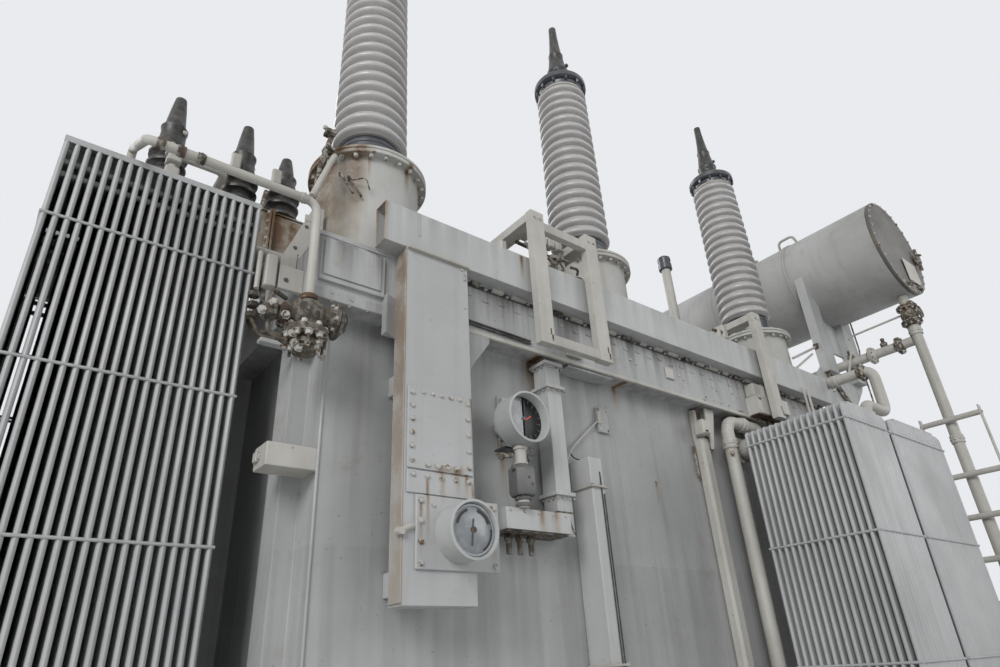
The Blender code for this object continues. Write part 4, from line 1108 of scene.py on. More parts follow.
@dataclass
class HighBushing:
    """A turret on the cover with a shedded porcelain bushing, its cap ring and its boot."""

    name: str
    rim_thick: float = 0.05
    wall: float = 0.30
    collar: float = 0.185
    collar_tall: float = 0.235
    sheds: int = 18
    shed_drawn: float = 0.017
    shed_depth: float = 0.04
    cap_tall: float = 0.12

    def __post_init__(self) -> None:
        """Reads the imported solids' sizes."""
        low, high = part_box(f"turret_{self.name}")
        self.x, self.y = (low.x + high.x) / 2, (low.y + high.y) / 2
        self.foot, self.top, self.rim = low.z, high.z, (high.x - low.x) / 2
        low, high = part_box(f"bushing_{self.name}")
        self.porcelain_top, self.shed_foot = high.z, (high.x - low.x) / 2
        low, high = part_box(f"terminal_{self.name}")
        self.cap, self.tip = (high.x - low.x) / 2, high.z

    def turned(self, profile: Sequence[Point], sides: int = 56) -> Shape:
        """A turned solid on the bushing's own axis."""
        return lathe(profile, sides, (self.x, self.y, 0))

    def ringed(self, z: float, radius: float, count: int, start: float = 0.0) -> Array:
        """Points round the bushing's axis at a height."""
        return around((self.x, self.y, z), radius, count, UP, start)

    def shed_surface(self) -> Array:
        """The porcelain's surface: one shed's line repeated up the core, its radius drawn in evenly.

        A shed rises steeply under its lip, rounds a fat lip and slopes in over a small bead to the
        next groove.

        Returns:
            (radius, height) points.
        """
        low = self.top + self.collar_tall
        pitch = (self.porcelain_top - low) / self.sheds
        rise = np.array([0.0, 0.06, 0.12, 0.2, 0.3, 0.4, 0.52, 0.66, 0.78, 0.86, 0.92, 0.97])
        depth = np.array([1.0, 0.75, 0.35, 0.08, 0.0, 0.03, 0.16, 0.4, 0.64, 0.66, 0.74, 0.96])
        i = np.arange(self.sheds)[:, None]
        radius = self.shed_foot - self.shed_drawn * i / (self.sheds - 1) - depth[None] * self.shed_depth
        z = low + (i + rise[None]) * pitch
        return np.stack([radius.ravel(), z.ravel()], -1)

    def build_turret(self) -> Shape:
        """The turret's wall, its weld bead at the foot, its rim and the bushing's own flange."""
        r, rim, under = self.wall, self.rim, self.top - self.rim_thick
        wall = [(r + 0.012, self.foot), (r + 0.009, self.foot + 0.009), (r, self.foot + 0.013)]
        wall += [(r, under - 0.012), (r + 0.006, under - 0.003), (rim - 0.003, under)]
        wall += [(rim, under + 0.003), (rim, under + 0.023), (rim - 0.004, under + 0.0255)]
        wall += [(rim - 0.012, under + 0.0255), (rim - 0.012, under + 0.0285), (rim - 0.004, under + 0.029)]
        wall += [(rim, under + 0.032), (rim, self.top - 0.003), (rim - 0.003, self.top)]
        wall += [(self.collar + 0.02, self.top)]
        return self.turned(wall, 72)

    def build_porcelain(self) -> Shape:
        """The shedded body above its collar, closed at its top."""
        low, r = self.top + self.collar_tall, self.shed_foot
        bell = [(r - 0.046, low - 0.006), (r - 0.03, low - 0.008)]
        tail = [(r - self.shed_drawn - self.shed_depth, self.porcelain_top - 0.002)]
        return self.turned(np.concatenate([bell, self.shed_surface(), tail]))

    def build_collar(self) -> Shape:
        """The dark cement band with its foot ring under the porcelain."""
        low, high, r = self.top + 0.0005, self.top + self.collar_tall - 0.006, self.collar
        line = [(r + 0.012, low), (r + 0.013, low + 0.012), (r + 0.002, low + 0.02), (r, low + 0.03)]
        line += [(r, high - 0.05), (r + 0.005, high - 0.045), (r + 0.005, high - 0.03)]
        line += [(r, high - 0.025), (r - 0.002, high)]
        return self.turned(line)

    def build_cap(self) -> Shape:
        """The cap ring: a stepped casting with a thinner waist between two rims."""
        waist = [(0.78, 0), (0.86, 0.05), (0.88, 0.3), (0.82, 0.36), (0.82, 0.46)]
        rim = [(0.97, 0.52), (1, 0.58), (1, 0.92), (0.97, 1), (0.5, 1.02)]
        size, foot = np.array([self.cap, self.cap_tall]), np.array([0, self.porcelain_top + 0.001])
        return self.turned(np.array(waist + rim) * size + foot)

    def build_band(self) -> Shape:
        """The thin pale ring clamped under the cap."""
        line = collar_profile(self.cap * 0.85, 0.021, self.cap * 0.05, 0.003)
        return lathe(line, 56, (self.x, self.y, self.porcelain_top - 0.012))

    def build_boot(self) -> Shape:
        """The tapered rubber boot: a stepped skirt, a long cone with two clamp ridges and a thin neck."""
        skirt = [(0.100, 0.0), (0.105, 0.04), (0.096, 0.06), (0.092, 0.22), (0.098, 0.235)]
        cone = [(0.098, 0.255), (0.086, 0.27), (0.074, 0.38), (0.062, 0.5), (0.067, 0.51)]
        neck = [(0.067, 0.53), (0.058, 0.54), (0.046, 0.7), (0.038, 0.85), (0.034, 1.0)]
        low = self.porcelain_top + self.cap_tall
        return self.turned(np.array(skirt + cone + neck) * (1, self.tip - low) + (0, low), 40)

    def build_bolts(self) -> Shape:
        """Bolts round the turret's rim with nuts below."""
        spots = self.ringed(self.top, self.rim - 0.026, 24, 0.1)
        made = Shape().add_copies(hex_bolt(0.013, 0.014), places_at(spots, UP))
        return made.add_copies(hex_bolt(0.014, 0.02), places_at(spots - (0, 0, self.rim_thick), DOWN))

    def build_cap_bolts(self) -> Shape:
        """Studs on the cap ring, lugs on the boot's side and clamps at the porcelain's foot."""
        low = self.porcelain_top
        spots = self.ringed(low + self.cap_tall * 0.54, self.cap * 0.93, 12)
        made = Shape().add_copies(hex_bolt(0.013, 0.04), places_at(spots, DOWN))
        for turn, z in ((0.6, 0.16), (2.4, 0.3), (4.1, 0.22)):
            spot = self.ringed(low + self.cap_tall + z, 0.09, 1, turn)[0]
            made.merge(block(spot - 0.014, spot + 0.014, 0.004))
        spots = self.ringed(self.top + 0.013, self.collar + 0.008, 12, 0.2)
        return made.add_copies(hex_bolt(0.011, 0.022), places_at(spots, UP))

    def dress(self) -> None:
        """Places the bushing's pieces."""
        turret, bushing, terminal = (f"{part}_{self.name}" for part in ("turret", "bushing", "terminal"))
        place_piece(f"{turret}_wall", self.build_turret(), Finish.TURRET, [turret])
        place_piece(f"{bushing}_porcelain", self.build_porcelain(), Finish.PORCELAIN, [bushing], 60)
        place_piece(f"{bushing}_collar", self.build_collar(), Finish.CEMENT_AND_PAINTED_SHADE)
        place_piece(f"{bushing}_ring", self.build_band(), Finish.PIPE)
        place_piece(f"{terminal}_cap", self.build_cap(), Finish.CEMENT_AND_PAINTED_SHADE, [terminal])
        place_piece(f"{terminal}_boot", self.build_boot(), Finish.BOOT, smooth_angle=50)
        place_piece(f"{turret}_bolts", self.build_bolts(), Finish.BOLT)
        place_piece(f"{terminal}_bolts", self.build_cap_bolts(), Finish.CEMENT_AND_PAINTED_SHADE)


@dataclass
class TurretFittings(Assembly):
    """The levers, hooks and thin conduit on the left side of the left turret, and its sampling taps."""

    name: str = "turret_fittings"
    conduit: float = 0.016
    hook: float = 0.007

    def dress(self) -> None:
        """Builds and places them."""
        self.each(
            Finish.FITTING, rod,
            ((-2.40, -1.13, 4.42), (-2.47, -1.17, 4.12), 0.015, 8),
            ((-2.47, -1.17, 4.12), (-2.53, -1.27, 3.78), 0.012, 8),
            ((-2.385, -1.13, 4.42), (-2.43, -1.15, 4.30), 0.008, 8),
        )
        plug = collar_profile(0.014, 0.022, 0.006, 0.006)
        self.add(Finish.PIPE, lathe(plug, 12, (-2.44, -1.13, 4.42), (-1, -0.2, 0)))
        for z in (4.36, 4.24):
            self.add(Finish.FITTING, block((-2.455, -1.18, z), (-2.40, -1.12, z + 0.025)))
        bend = [(-2.36, -1.11, 4.24), (-2.39, -1.15, 4.235), (-2.41, -1.17, 4.18), (-2.54, -1.28, 3.80)]
        self.add(Finish.PIPE, tube(bend, self.conduit, 0.05, 12))
        hook = [(-2.33, -1.10, 4.16), (-2.36, -1.16, 4.13), (-2.31, -1.17, 4.05), (-2.27, -1.15, 4.03)]
        wire = [(-2.30, -1.09, 4.14), (-2.22, -1.20, 4.13), (-2.19, -1.18, 4.07)]
        self.each(
            Finish.FITTING, tube,
            (hook, self.hook, 0.03, 10),
            (np.array(hook) + (0.05, 0, 0), self.hook, 0.03, 10),
            (wire, 0.004, 0.03, 6),
        )
        for x in (-0.22, 2.03):
            self.add(Finish.PIPE, block((x - 0.08, -1.21, 3.74), (x + 0.08, -1.17, 3.80), 0.006))
            self.add(Finish.PIPE, rod((x + 0.02, -1.16, 3.86), (x + 0.02, -1.23, 3.86), 0.016, 12))
        self.place()


@dataclass
class LowVoltageSide:
    """The throat over the tall radiators and its three booted bushings."""

    names: tuple[str, ...] = ("left", "middle", "right")
    y: float = 0.04
    top: float = 4.45
    front: float = -0.2003
    rear: float = 0.2803
    skirts: int = 4
    skirt_tall: float = 0.09

    def build_bushing(self, x: float, tip: float) -> Shape:
        """One bushing: a flange, four skirts and a tapering boot, all under rubber.

        Args:
            x: its place.
            tip: height of the boot's end.

        Returns:
            The shape.
        """
        z = self.top + 0.0005
        line = [(0.15, z), (0.152, z + 0.006), (0.15, z + 0.024), (0.11, z + 0.03)]
        rise = np.array([0.0, 0.12, 0.2, 0.34, 0.6, 0.85])
        depth = np.array([0.036, 0.03, 0.004, 0.0, 0.012, 0.03])
        i = np.arange(self.skirts)[:, None]
        height = z + 0.03 + (i + rise[None]) * self.skirt_tall
        sheds = np.stack([(0.12 - depth[None] + 0 * i).ravel(), height.ravel()], -1)
        foot = z + 0.03 + self.skirts * self.skirt_tall
        along = np.array([0.0, 0.09, 0.13, 0.33, 0.36, 0.39, 0.42, 0.76, 1.0])
        radius = np.array([0.088, 0.09, 0.08, 0.078, 0.084, 0.084, 0.066, 0.05, 0.036])
        boot = np.stack([radius, foot + along * (tip - foot)], -1)
        return lathe(np.concatenate([line, sheds, boot]), 40, (x, self.y, 0))

    def trim(self) -> Assembly:
        """Flange joints, ribs and bolts of the throat, and the lugs and tape on the boots."""
        made = Assembly("lv_throat_trim")
        front, rear = self.front, self.rear
        for x in (-2.42, -2.98):
            for near in (x, x + 0.02):
                for y in (front - 0.035, rear):
                    made.add(Finish.TURRET, block((near, y, 4.075), (near + 0.014, y + 0.035, 4.466), 0.002))
            for y in (front - 0.018, rear + 0.018):
                made.bolt_lines(LEFT, ((x - 0.001, y, 4.10), (x - 0.001, y, 4.44), 6, 0.012))
        made.add(Finish.TURRET, block((-3.31, front - 0.01, 4.452), (-1.73, -0.19, 4.462), 0.002))
        for y in (-0.17, 0.25):
            made.bolt_lines(UP, ((-3.27, y, 4.452), (-1.78, y, 4.452), 12, 0.012))
        for x in (-2.20, -1.86):
            made.add(Finish.TURRET, block((x, front - 0.03, 3.64), (x + 0.012, front, 4.09), 0.003))
        made.add(Finish.TURRET, block((-2.36, front - 0.04, 3.632), (-1.70, front, 3.65), 0.003))
        made.bolt_lines(UP, ((-2.31, front - 0.022, 3.65), (-1.76, front - 0.022, 3.65), 7, 0.013))
        lugs = [("left", 3.6, 5.06), ("left", 2.4, 4.98), ("middle", 3.5, 4.97), ("middle", 5.6, 4.96)]
        for name, turn, z in (*lugs, ("right", 4.4, 4.98)):
            spot = around((self.middle(name), self.y, z), 0.078, 1, UP, turn)[0]
            made.add(Finish.PIPE, block(spot - 0.017, spot + 0.017, 0.006))
        for x in (-2.64, -2.36):
            made.add(Finish.PIPE, block((x - 0.035, -0.09, 4.80), (x + 0.03, -0.05, 4.93), 0.012))
        for x in (-2.72, -2.45):
            made.add(Finish.FITTING, rod((x, -0.10, 4.47), (x + 0.04, -0.04, 4.74), 0.016, 10))
        return made

    def middle(self, name: str) -> float:
        """The place of a bushing along X."""
        low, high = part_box(f"lv_bushing_{name}")
        return (low.x + high.x) / 2

    def dress(self) -> None:
        """Places the pieces of the low-voltage side."""
        softened("lv_throat", Finish.TURRET, 0.006)
        rings = Shape()
        for name in self.names:
            node, x = f"lv_bushing_{name}", self.middle(name)
            boot = self.build_bushing(x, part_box(node)[1].z)
            place_piece(f"{node}_boot", boot, Finish.BOOT, [node], 50)
            spots = around((x, self.y, self.top + 0.026), 0.133, 8, UP)
            rings.add_copies(hex_bolt(0.011), places_at(spots, UP))
        place_piece("lv_bushing_bolts", rings, Finish.BOLT)
        self.trim().place()


# Conservator


@dataclass
class Conservator:
    """The oil drum with its bolted ends, seam, saddles, lifting loop and level gauge."""

    x: float = 3.12
    z: float = 5.25
    radius: float = 0.512
    front: float = -2.04
    rear: float = 1.06
    cover: float = 0.03
    seam: float = -1.12
    bolts: int = 28

    def build_shell(self) -> Shape:
        """The drum's wall: radius against place along Y, with a raised seam band and rolled rims."""
        r, length, seam = self.radius, self.rear - self.front, self.seam - self.front
        band = [(0, -0.03), (0, -0.022), (0.010, -0.020), (0.010, -0.004), (0.003, -0.002), (0.003, 0.002)]
        band += [(0.010, 0.004), (0.010, 0.020), (0, 0.022), (0, 0.9)]
        band += [(0.004, 0.905), (0.004, 0.915), (0, 0.92)]
        wall = [(r - 0.02, self.cover), (r, self.cover + 0.004)]
        wall += [(r + out, seam + along) for out, along in band]
        wall += [(r, length - self.cover - 0.004), (r - 0.02, length - self.cover)]
        return lathe(wall, 120, (self.x, self.front, self.z), REAR)

    def build_end(self, y: float, outward: Point) -> Shape:
        """A flat bolted end with an eased rim, slightly dished in its middle."""
        r, thick = self.radius, self.cover
        line = [(r * 0.3, thick * 0.6), (r * 0.86, thick * 0.75), (r * 0.9, thick * 0.92)]
        line += [(r - 0.004, thick), (r, thick - 0.004), (r, 0.003), (r - 0.004, 0.0)]
        return lathe(line, 120, (self.x, y, self.z), outward)

    def build_bolts(self) -> Shape:
        """Bolt heads round both ends."""
        made = Shape()
        for y, way in ((self.front, FRONT), (self.rear, REAR)):
            spots = around((self.x, y, self.z), self.radius - 0.022, self.bolts, way, 0.06)
            made.add_copies(hex_bolt(0.013, 0.012), places_at(spots, way))
        return made

    def build_loop(self) -> Shape:
        """The lifting loop on the seam, 114 degrees round the drum from its right side."""
        turn = math.radians(114)
        way, along = np.array([math.cos(turn), 0, math.sin(turn)]), np.array([0, 1.0, 0])
        foot = np.array([self.x, self.seam, self.z]) + way * (self.radius - 0.01)
        reaches = ((-0.10, 0), (-0.085, 0.10), (0.085, 0.10), (0.10, 0))
        return tube([foot + along * side + way * rise for side, rise in reaches], 0.014, 0.07, 12)

    def trim(self) -> Assembly:
        """The small plate and taps on the near end, straps, the saddles' bolts, braces and conduits."""
        made = Assembly("conservator_trim")
        x, y, z, top = self.x, self.front, self.z, self.z + self.radius
        made.add(Finish.PIPE, block((x + 0.03, y - 0.006, z - 0.36), (x + 0.31, y, z - 0.11), 0.001))
        made.add(Finish.FITTING, block((x + 0.38, y - 0.05, z - 0.06), (x + 0.45, y, z + 0.05), 0.012))
        made.each(
            Finish.FITTING, rod,
            ((x + 0.42, y - 0.03, z - 0.13), (x + 0.42, y - 0.03, z + 0.12), 0.016, 10),
            ((x + 0.40, y - 0.07, z + 0.02), (x + 0.47, y - 0.03, z + 0.08), 0.010, 8),
        )
        tap = [(0.03, 0), (0.03, 0.02), (0.018, 0.024), (0.018, 0.04)]
        plug = [(0.03, 0), (0.03, 0.03), (0.018, 0.034)]
        made.each(
            Finish.FITTING, lathe,
            (tap, 20, (x - 0.03, y, z - 0.43), FRONT),
            (plug, 16, (x + 0.22, y, z - 0.40), FRONT),
        )
        for strap in (self.seam, 0.2):
            low, high = (x - 0.03, strap - 0.05, top), (x + 0.03, strap + 0.05, top + 0.012)
            made.add(Finish.DRUM, block(low, high))
        filler = [(0.035, 0), (0.035, 0.09), (0.045, 0.095), (0.045, 0.12), (0.03, 0.125)]
        made.add(Finish.PIPE, lathe(filler, 20, (x, -0.6, top - 0.004)))
        for face, way in ((-1.281, FRONT), (0.631, REAR)):
            made.bolt_lines(
                way,
                ((2.71, face, 3.50), (2.71, face, 4.05), 4, 0.012),
                ((3.28, face, 4.20), (3.28, face, 4.60), 3, 0.012),
            )
        made.each(
            Finish.FITTING, rod,
            ((2.66, -1.23, 4.10), (3.16, -1.23, 3.62), 0.022, 10),
            ((2.66, -1.23, 3.62), (2.50, -1.23, 3.40), 0.018, 10),
        )
        drop = [(3.40, -1.30, 4.86), (3.40, -1.30, 4.50), (3.32, -1.30, 4.30), (3.32, -1.30, 3.9)]
        made.add(Finish.FITTING, tube(drop, 0.008, 0.05, 8))
        across = [(2.50, -1.30, 3.84), (2.62, -1.32, 3.98), (2.80, -1.34, 4.02), (3.02, -1.36, 4.36)]
        made.add(Finish.PIPE, tube(across, 0.010, 0.05, 8))
        return made

    def dress(self) -> None:
        """Places the conservator's pieces."""
        near = self.build_end(self.front + self.cover, FRONT)
        far = self.build_end(self.rear - self.cover, REAR)
        place_piece("conservator_shell_wall", self.build_shell(), Finish.DRUM, ["conservator_shell"])
        place_piece("conservator_front_disc", near, Finish.DRUM_END, ["conservator_front_end"])
        place_piece("conservator_rear_disc", far, Finish.DRUM_END, ["conservator_rear_end"])
        place_piece("conservator_bolts", self.build_bolts(), Finish.BOLT)
        place_piece("conservator_loop", self.build_loop(), Finish.PIPE)
        for name in ("front", "rear"):
            softened(f"conservator_support_{name}", Finish.TANK, 0.003)
        self.trim().place()


# Tank, ducts, gauges, brackets and pipes


@dataclass
class TankTop(Assembly):
    """What is bolted and welded to the tank and its cover."""

    name: str = "tank_trim"
    cover_z: float = 3.6303
    under_cover: float = 3.60
    band_front: float = -1.2803
    clamp_pitch: float = 0.155
    mark_pitch: float = 0.115

    def build_rim(self) -> None:
        """Cover bolts all round, a thin dark sheet that paints the shade in the gap under the trough, and the
        clamps in it.
        """
        z, under = self.cover_z, self.under_cover
        self.bolt_lines(
            UP,
            ((-2.42, -1.235, z), (2.42, -1.235, z), 31, 0.014),
            ((-2.42, 1.235, z), (2.42, 1.235, z), 31, 0.014),
            ((-2.435, -1.08, z), (-2.435, 1.08, z), 14, 0.014),
            ((2.435, -1.08, z), (2.435, 1.08, z), 14, 0.014),
        )
        # Painted shade: a thin dark sheet on the band's face in the gap under the cover, where only shade
        # falls.
        self.add(Finish.CEMENT_AND_PAINTED_SHADE, block((-2.0, -1.2825, 3.6003), (2.2, -1.2802, 3.6295), 0.0005))
        clamps = np.arange(-1.58, 2.15, self.clamp_pitch)
        for k, x in enumerate(clamps):
            wide = 0.028 + 0.012 * (k % 3)
            clamp = block((x - wide, -1.306, under + 0.005), (x + wide, -1.2826, under + 0.0294))
            self.add(Finish.PIPE if k % 4 else Finish.FITTING, clamp)
        self.bolts([(x + 0.07, -1.295, under + 0.006) for x in clamps], DOWN, 0.009, 0.010)

    def build_band(self) -> None:
        """The lip strip and cables along the band's foot, the gusset beside the duct and small pads."""
        front = self.band_front
        self.add(Finish.PIPE, block((-1.69, front - 0.012, 3.303), (2.47, front + 0.01, 3.328)))
        for k, x in enumerate(np.arange(-1.62, 2.3, self.mark_pitch)):
            z = 3.548 - 0.012 * (k % 2)
            low, high = (x - 0.022, front - 0.004, z - 0.008), (x + 0.022, front, z + 0.008)
            self.add(Finish.TANK, block(low, high, 0.002))
        cable = np.array([(-1.70, 3.352), (-1.66, 3.362), (-1.20, 3.350)])
        cable = np.insert(cable, 1, front - 0.010, axis=1)
        self.each(Finish.BOOT, tube, (cable, 0.006, 0.03, 8), (cable + (0, 0, 0.016), 0.006, 0.03, 8))
        gusset = [(0, 0), (0.19, 0), (0.19, -0.03), (0.02, -0.26), (0, -0.26)]
        for y in (-1.285, -1.19):
            self.add(Finish.TANK, upright(gusset, 0.008, (-1.69, y, 3.303)))
        edge = [(0.188, -0.031), (0.192, -0.031), (0.022, -0.262), (0.018, -0.258)]
        self.add(Finish.PIPE, upright(edge, 0.1, (-1.69, -1.19, 3.303)))
        self.add(Finish.TANK, block((-0.90, -1.275, 3.285), (-0.52, -1.16, 3.301)))
        self.each(
            Finish.PIPE, block,
            ((0.02, front - 0.012, 3.42), (0.10, front, 3.50)),
            ((-0.92, front - 0.02, 3.35), (-0.80, front, 3.44)),
        )
        for x in (-0.33, 0.17, 0.55, 0.80):
            self.bolts([(x, front, 3.47), (x + 0.05, front, 3.45)], FRONT, 0.009)
        self.bolt_lines(FRONT, ((0.45, front, 3.37), (0.72, front, 3.36), 4, 0.008))
        self.bolt_lines(DOWN, ((-2.40, -1.27, 3.26), (-2.12, -1.27, 3.26), 4, 0.008))

    def build_rim_box(self) -> None:
        """The raised panel on the box at the rim's left end, with its chamfer on the right."""
        self.add(Finish.TANK, block((-2.462, -1.308, 3.372), (-2.165, -1.2995, 3.562), 0.004))
        wedge = [(0, 0), (0.09, 0), (0, 0.045)]
        self.add(Finish.TANK, slab(wedge, 0.21, axes_frame((-2.14, -1.28, 3.36), RIGHT, FRONT)))
        self.bolts([(-2.40, -1.2805, 3.30), (-2.30, -1.2805, 3.29)], FRONT, 0.006)

    def build_wall(self) -> None:
        """Weld beads at the wall's corners, jacking pads, drain flanges and the bolts at the foot."""
        for x, y in ((-2.352, -1.152), (2.352, -1.152), (-2.352, 1.152), (2.352, 1.152)):
            self.add(Finish.TANK, rod((x, y, 0.37), (x, y, 3.30), 0.007, 8))
        for y in (-1.19, 1.19):
            self.bolt_lines(UP, ((-2.2, y, 0.36), (2.2, y, 0.36), 14, 0.016))
        for x in (-2.39, 2.39):
            for y in (-0.62, 0.62):
                self.add(Finish.TANK, block((x - 0.04, y - 0.10, 0.62), (x + 0.04, y + 0.10, 0.70), 0.008))
        for x in (-1.5, 1.3):
            stub = [(0.055, 0), (0.055, 0.07), (0.048, 0.075)]
            self.add(Finish.TANK, lathe(stub, 24, (x, -1.15, 0.62), FRONT))
            self.add(Finish.FITTING, ring(flange_profile(0.04, 0.085, 0.016), 28, (x, -1.21, 0.62), FRONT))
            self.bolts(around((x, -1.226, 0.62), 0.068, 8, FRONT), FRONT, 0.009)

    def build_cover(self) -> None:
        """Hand-hole covers, lifting lugs with their eyes, and stiffening bars on the lid."""
        z = self.cover_z
        for x, y in ((-1.15, 0.62), (0.2, 0.62), (1.35, 0.62), (-1.1, -0.15)):
            self.add(Finish.TANK, lathe(flange_profile(0.05, 0.20, 0.016), 40, (x, y, z)))
            self.bolts(around((x, y, z + 0.016), 0.175, 12, UP), UP, 0.012)
        lug = [(-0.09, 0), (0.09, 0), (0.07, 0.11), (0.03, 0.15), (-0.03, 0.15), (-0.07, 0.11)]
        eye = [(0.02, -0.003), (0.034, -0.003), (0.034, 0.036), (0.02, 0.036)]
        for x in (-1.9, 1.9):
            for y in (-0.35, 0.98):
                self.add(Finish.TANK, upright(lug, 0.03, (x, y, z)), ring(eye, 20, (x, y, z + 0.1), FRONT))
        for x in (-0.6, 0.9):
            self.add(Finish.TANK, block((x - 0.015, -0.45, z), (x + 0.015, 1.15, z + 0.045), 0.004))

    def build_end_plates(self) -> None:
        """Plates, brackets and grommets between the tank's corner and the tall radiators."""
        grommet = [(0.012, 0), (0.012, 0.002)]
        brace = [(0, 0), (0.025, 0), (0.09, 0.10), (0.09, 0.13)]
        plate = [(-2.42, 3.97), (-2.365, 3.97), (-2.365, 3.635), (-2.485, 3.635), (-2.485, 3.50)]
        plate += [(-2.56, 3.50), (-2.56, 3.60)]
        hole = [(0.011, 0), (0.011, 0.002)]
        self.each(
            Finish.PIPE, block,
            ((-2.60, -1.12, 3.345), (-2.4803, -1.095, 3.475)),
            ((-2.665, -1.13, 3.335), (-2.612, -1.08, 3.51), 0.006),
            ((-2.465, -1.01, 3.86), (-2.37, -1.0, 3.90)),
            ((-2.589, -1.07, 2.53), (-2.575, -1.03, 2.575)),
        )
        self.each(
            # The grommet, then two thin dark discs on the plate: painted shade standing for its holes.
            Finish.CEMENT_AND_PAINTED_SHADE, lathe,
            (grommet, 16, (-2.565, -1.1205, 3.395), FRONT),
            (hole, 14, (-2.452, -1.0072, 3.82), FRONT),
            (hole, 14, (-2.50, -1.0072, 3.67), FRONT),
        )
        self.each(Finish.PIPE, upright, (brace, 0.012, (-2.535, -1.20, 3.25)), (plate, 0.012, (0, -0.995, 0)))
        self.add(Finish.PIPE, rod((-2.69, -1.10, 3.32), (-2.69, -1.10, 3.52), 0.012, 16))
        self.each(
            Finish.TANK, block,
            ((-2.60, -1.10, 3.345), (-2.585, -0.95, 3.475)),
            ((-2.62, -1.03, 3.10), (-2.3503, -0.985, 3.122)),
        )
        self.bolts([(-2.575, -1.08, 2.55)], LEFT, 0.012)

    def build_end_taps(self) -> None:
        """Taps, nuts and thin pipes in the dark between the tank's corner and the tall radiators."""
        tap = [(0.028, 0), (0.032, 0.006), (0.032, 0.02), (0.026, 0.026)]
        nut = [(0.02, 0), (0.024, 0.01), (0.02, 0.05), (0.013, 0.055)]
        upper = [(-2.63, -0.72, 3.43), (-2.58, -0.74, 3.29), (-2.47, -0.86, 3.25), (-2.362, -0.92, 3.26)]
        lower = [(-2.61, -0.80, 3.33), (-2.56, -0.82, 3.22), (-2.46, -0.92, 3.20), (-2.362, -1.0, 3.19)]
        for z in (3.33, 3.39, 3.45):
            self.add(Finish.VALVE, lathe(tap, 6, (-2.61, -0.80, z)))
        self.each(Finish.VALVE, tube, (upper, 0.011, 0.05, 10), (lower, 0.009, 0.05, 10))
        for y, z in ((-0.93, 3.27), (-1.0, 3.23), (-0.97, 3.17), (-1.04, 3.16)):
            self.add(Finish.VALVE, lathe(nut, 6, (-2.47, y, z), LEFT))
        cable = [(-2.60, -0.86, 3.62), (-2.63, -0.88, 3.45), (-2.585, -0.93, 3.34), (-2.52, -0.98, 3.28)]
        self.add(Finish.BOOT, tube([*cable, (-2.40, -1.0, 3.27)], 0.007, 0.08, 8))

    def dress(self) -> None:
        """Places the trim and the plates it sits on."""
        self.build_rim()
        self.build_rim_box()
        self.build_band()
        self.build_wall()
        self.build_cover()
        self.build_end_plates()
        self.build_end_taps()
        self.place()
        for node in ("skid_front", "skid_middle", "skid_rear", "tank", "cover"):
            softened(node, Finish.TANK)
        softened("end_brace", Finish.PIPE)


@dataclass
class FrontDuct(Assembly):
    """The trough along the rim and the control duct that hangs from it, with its bolted plates."""

    name: str = "control_duct_trim"
    plate_front: float = -1.3988
    gauge_plate_front: float = -1.403
    trough_front: float = -1.391

    def build_bolts(self) -> None:
        """Bolts round the two plates and the gauge's plate, and at the duct's top."""
        y = self.plate_front
        self.bolt_lines(
            FRONT,
            ((-2.036, y, 2.53), (-2.036, y, 2.84), 6, 0.0105),
            ((-1.735, y, 2.53), (-1.735, y, 2.84), 5, 0.0105),
            ((-1.98, y, 2.852), (-1.78, y, 2.852), 5, 0.0095),
            ((-1.955, y, 2.518), (-1.80, y, 2.516), 4, 0.012),
            ((-2.03, y, 2.468), (-1.74, y, 2.466), 5, 0.0105),
        )
        y = self.trough_front
        self.bolts([(-1.722, y, 3.575), (-1.722, y, 3.545), (-1.74, y, 3.60)], FRONT, 0.008)
        y = self.gauge_plate_front
        for x in (-1.992, -1.612):
            self.bolt_lines(FRONT, ((x, y, 2.11), (x, y, 2.36), 4, 0.0115))
        self.bolts([(-1.93, y, 2.345)], FRONT, 0.008)

    def build_strips(self) -> None:
        """The seam on the trough, the flange at the duct's top and the strip along its left edge."""
        self.add(Finish.TROUGH, block((-2.0, -1.3838, 3.72), (-1.99, -1.3803, 3.865), 0.001))
        self.add(Finish.PIPE, block((-2.07, -1.41, 3.612), (-1.70, -1.378, 3.6295)))
        self.add(Finish.DUCT, block((-2.075, -1.386, 1.96), (-2.0685, -1.29, 3.60), 0.002))

    def build_handle(self) -> None:
        """The small lever fitting left of the gauge plate."""
        lever = [(-2.01, -1.385, 2.255), (-2.045, -1.40, 2.25), (-2.08, -1.395, 2.232)]
        self.add(Finish.PIPE, tube(lever, 0.013, 0.03, 12))
        self.add(Finish.PIPE, rod((-2.085, -1.415, 2.228), (-2.085, -1.375, 2.232), 0.016, 10))

    def dress(self) -> None:
        """Places the duct, its plates and the trough."""
        self.build_bolts()
        self.build_strips()
        self.build_handle()
        self.place()
        softened("cable_trough", Finish.TROUGH, 0.003)
        softened("control_duct", Finish.DUCT, 0.012)
        softened("duct_cover_upper", Finish.DUCT, 0.003)
        softened("duct_cover_lower", Finish.DUCT, 0.003)


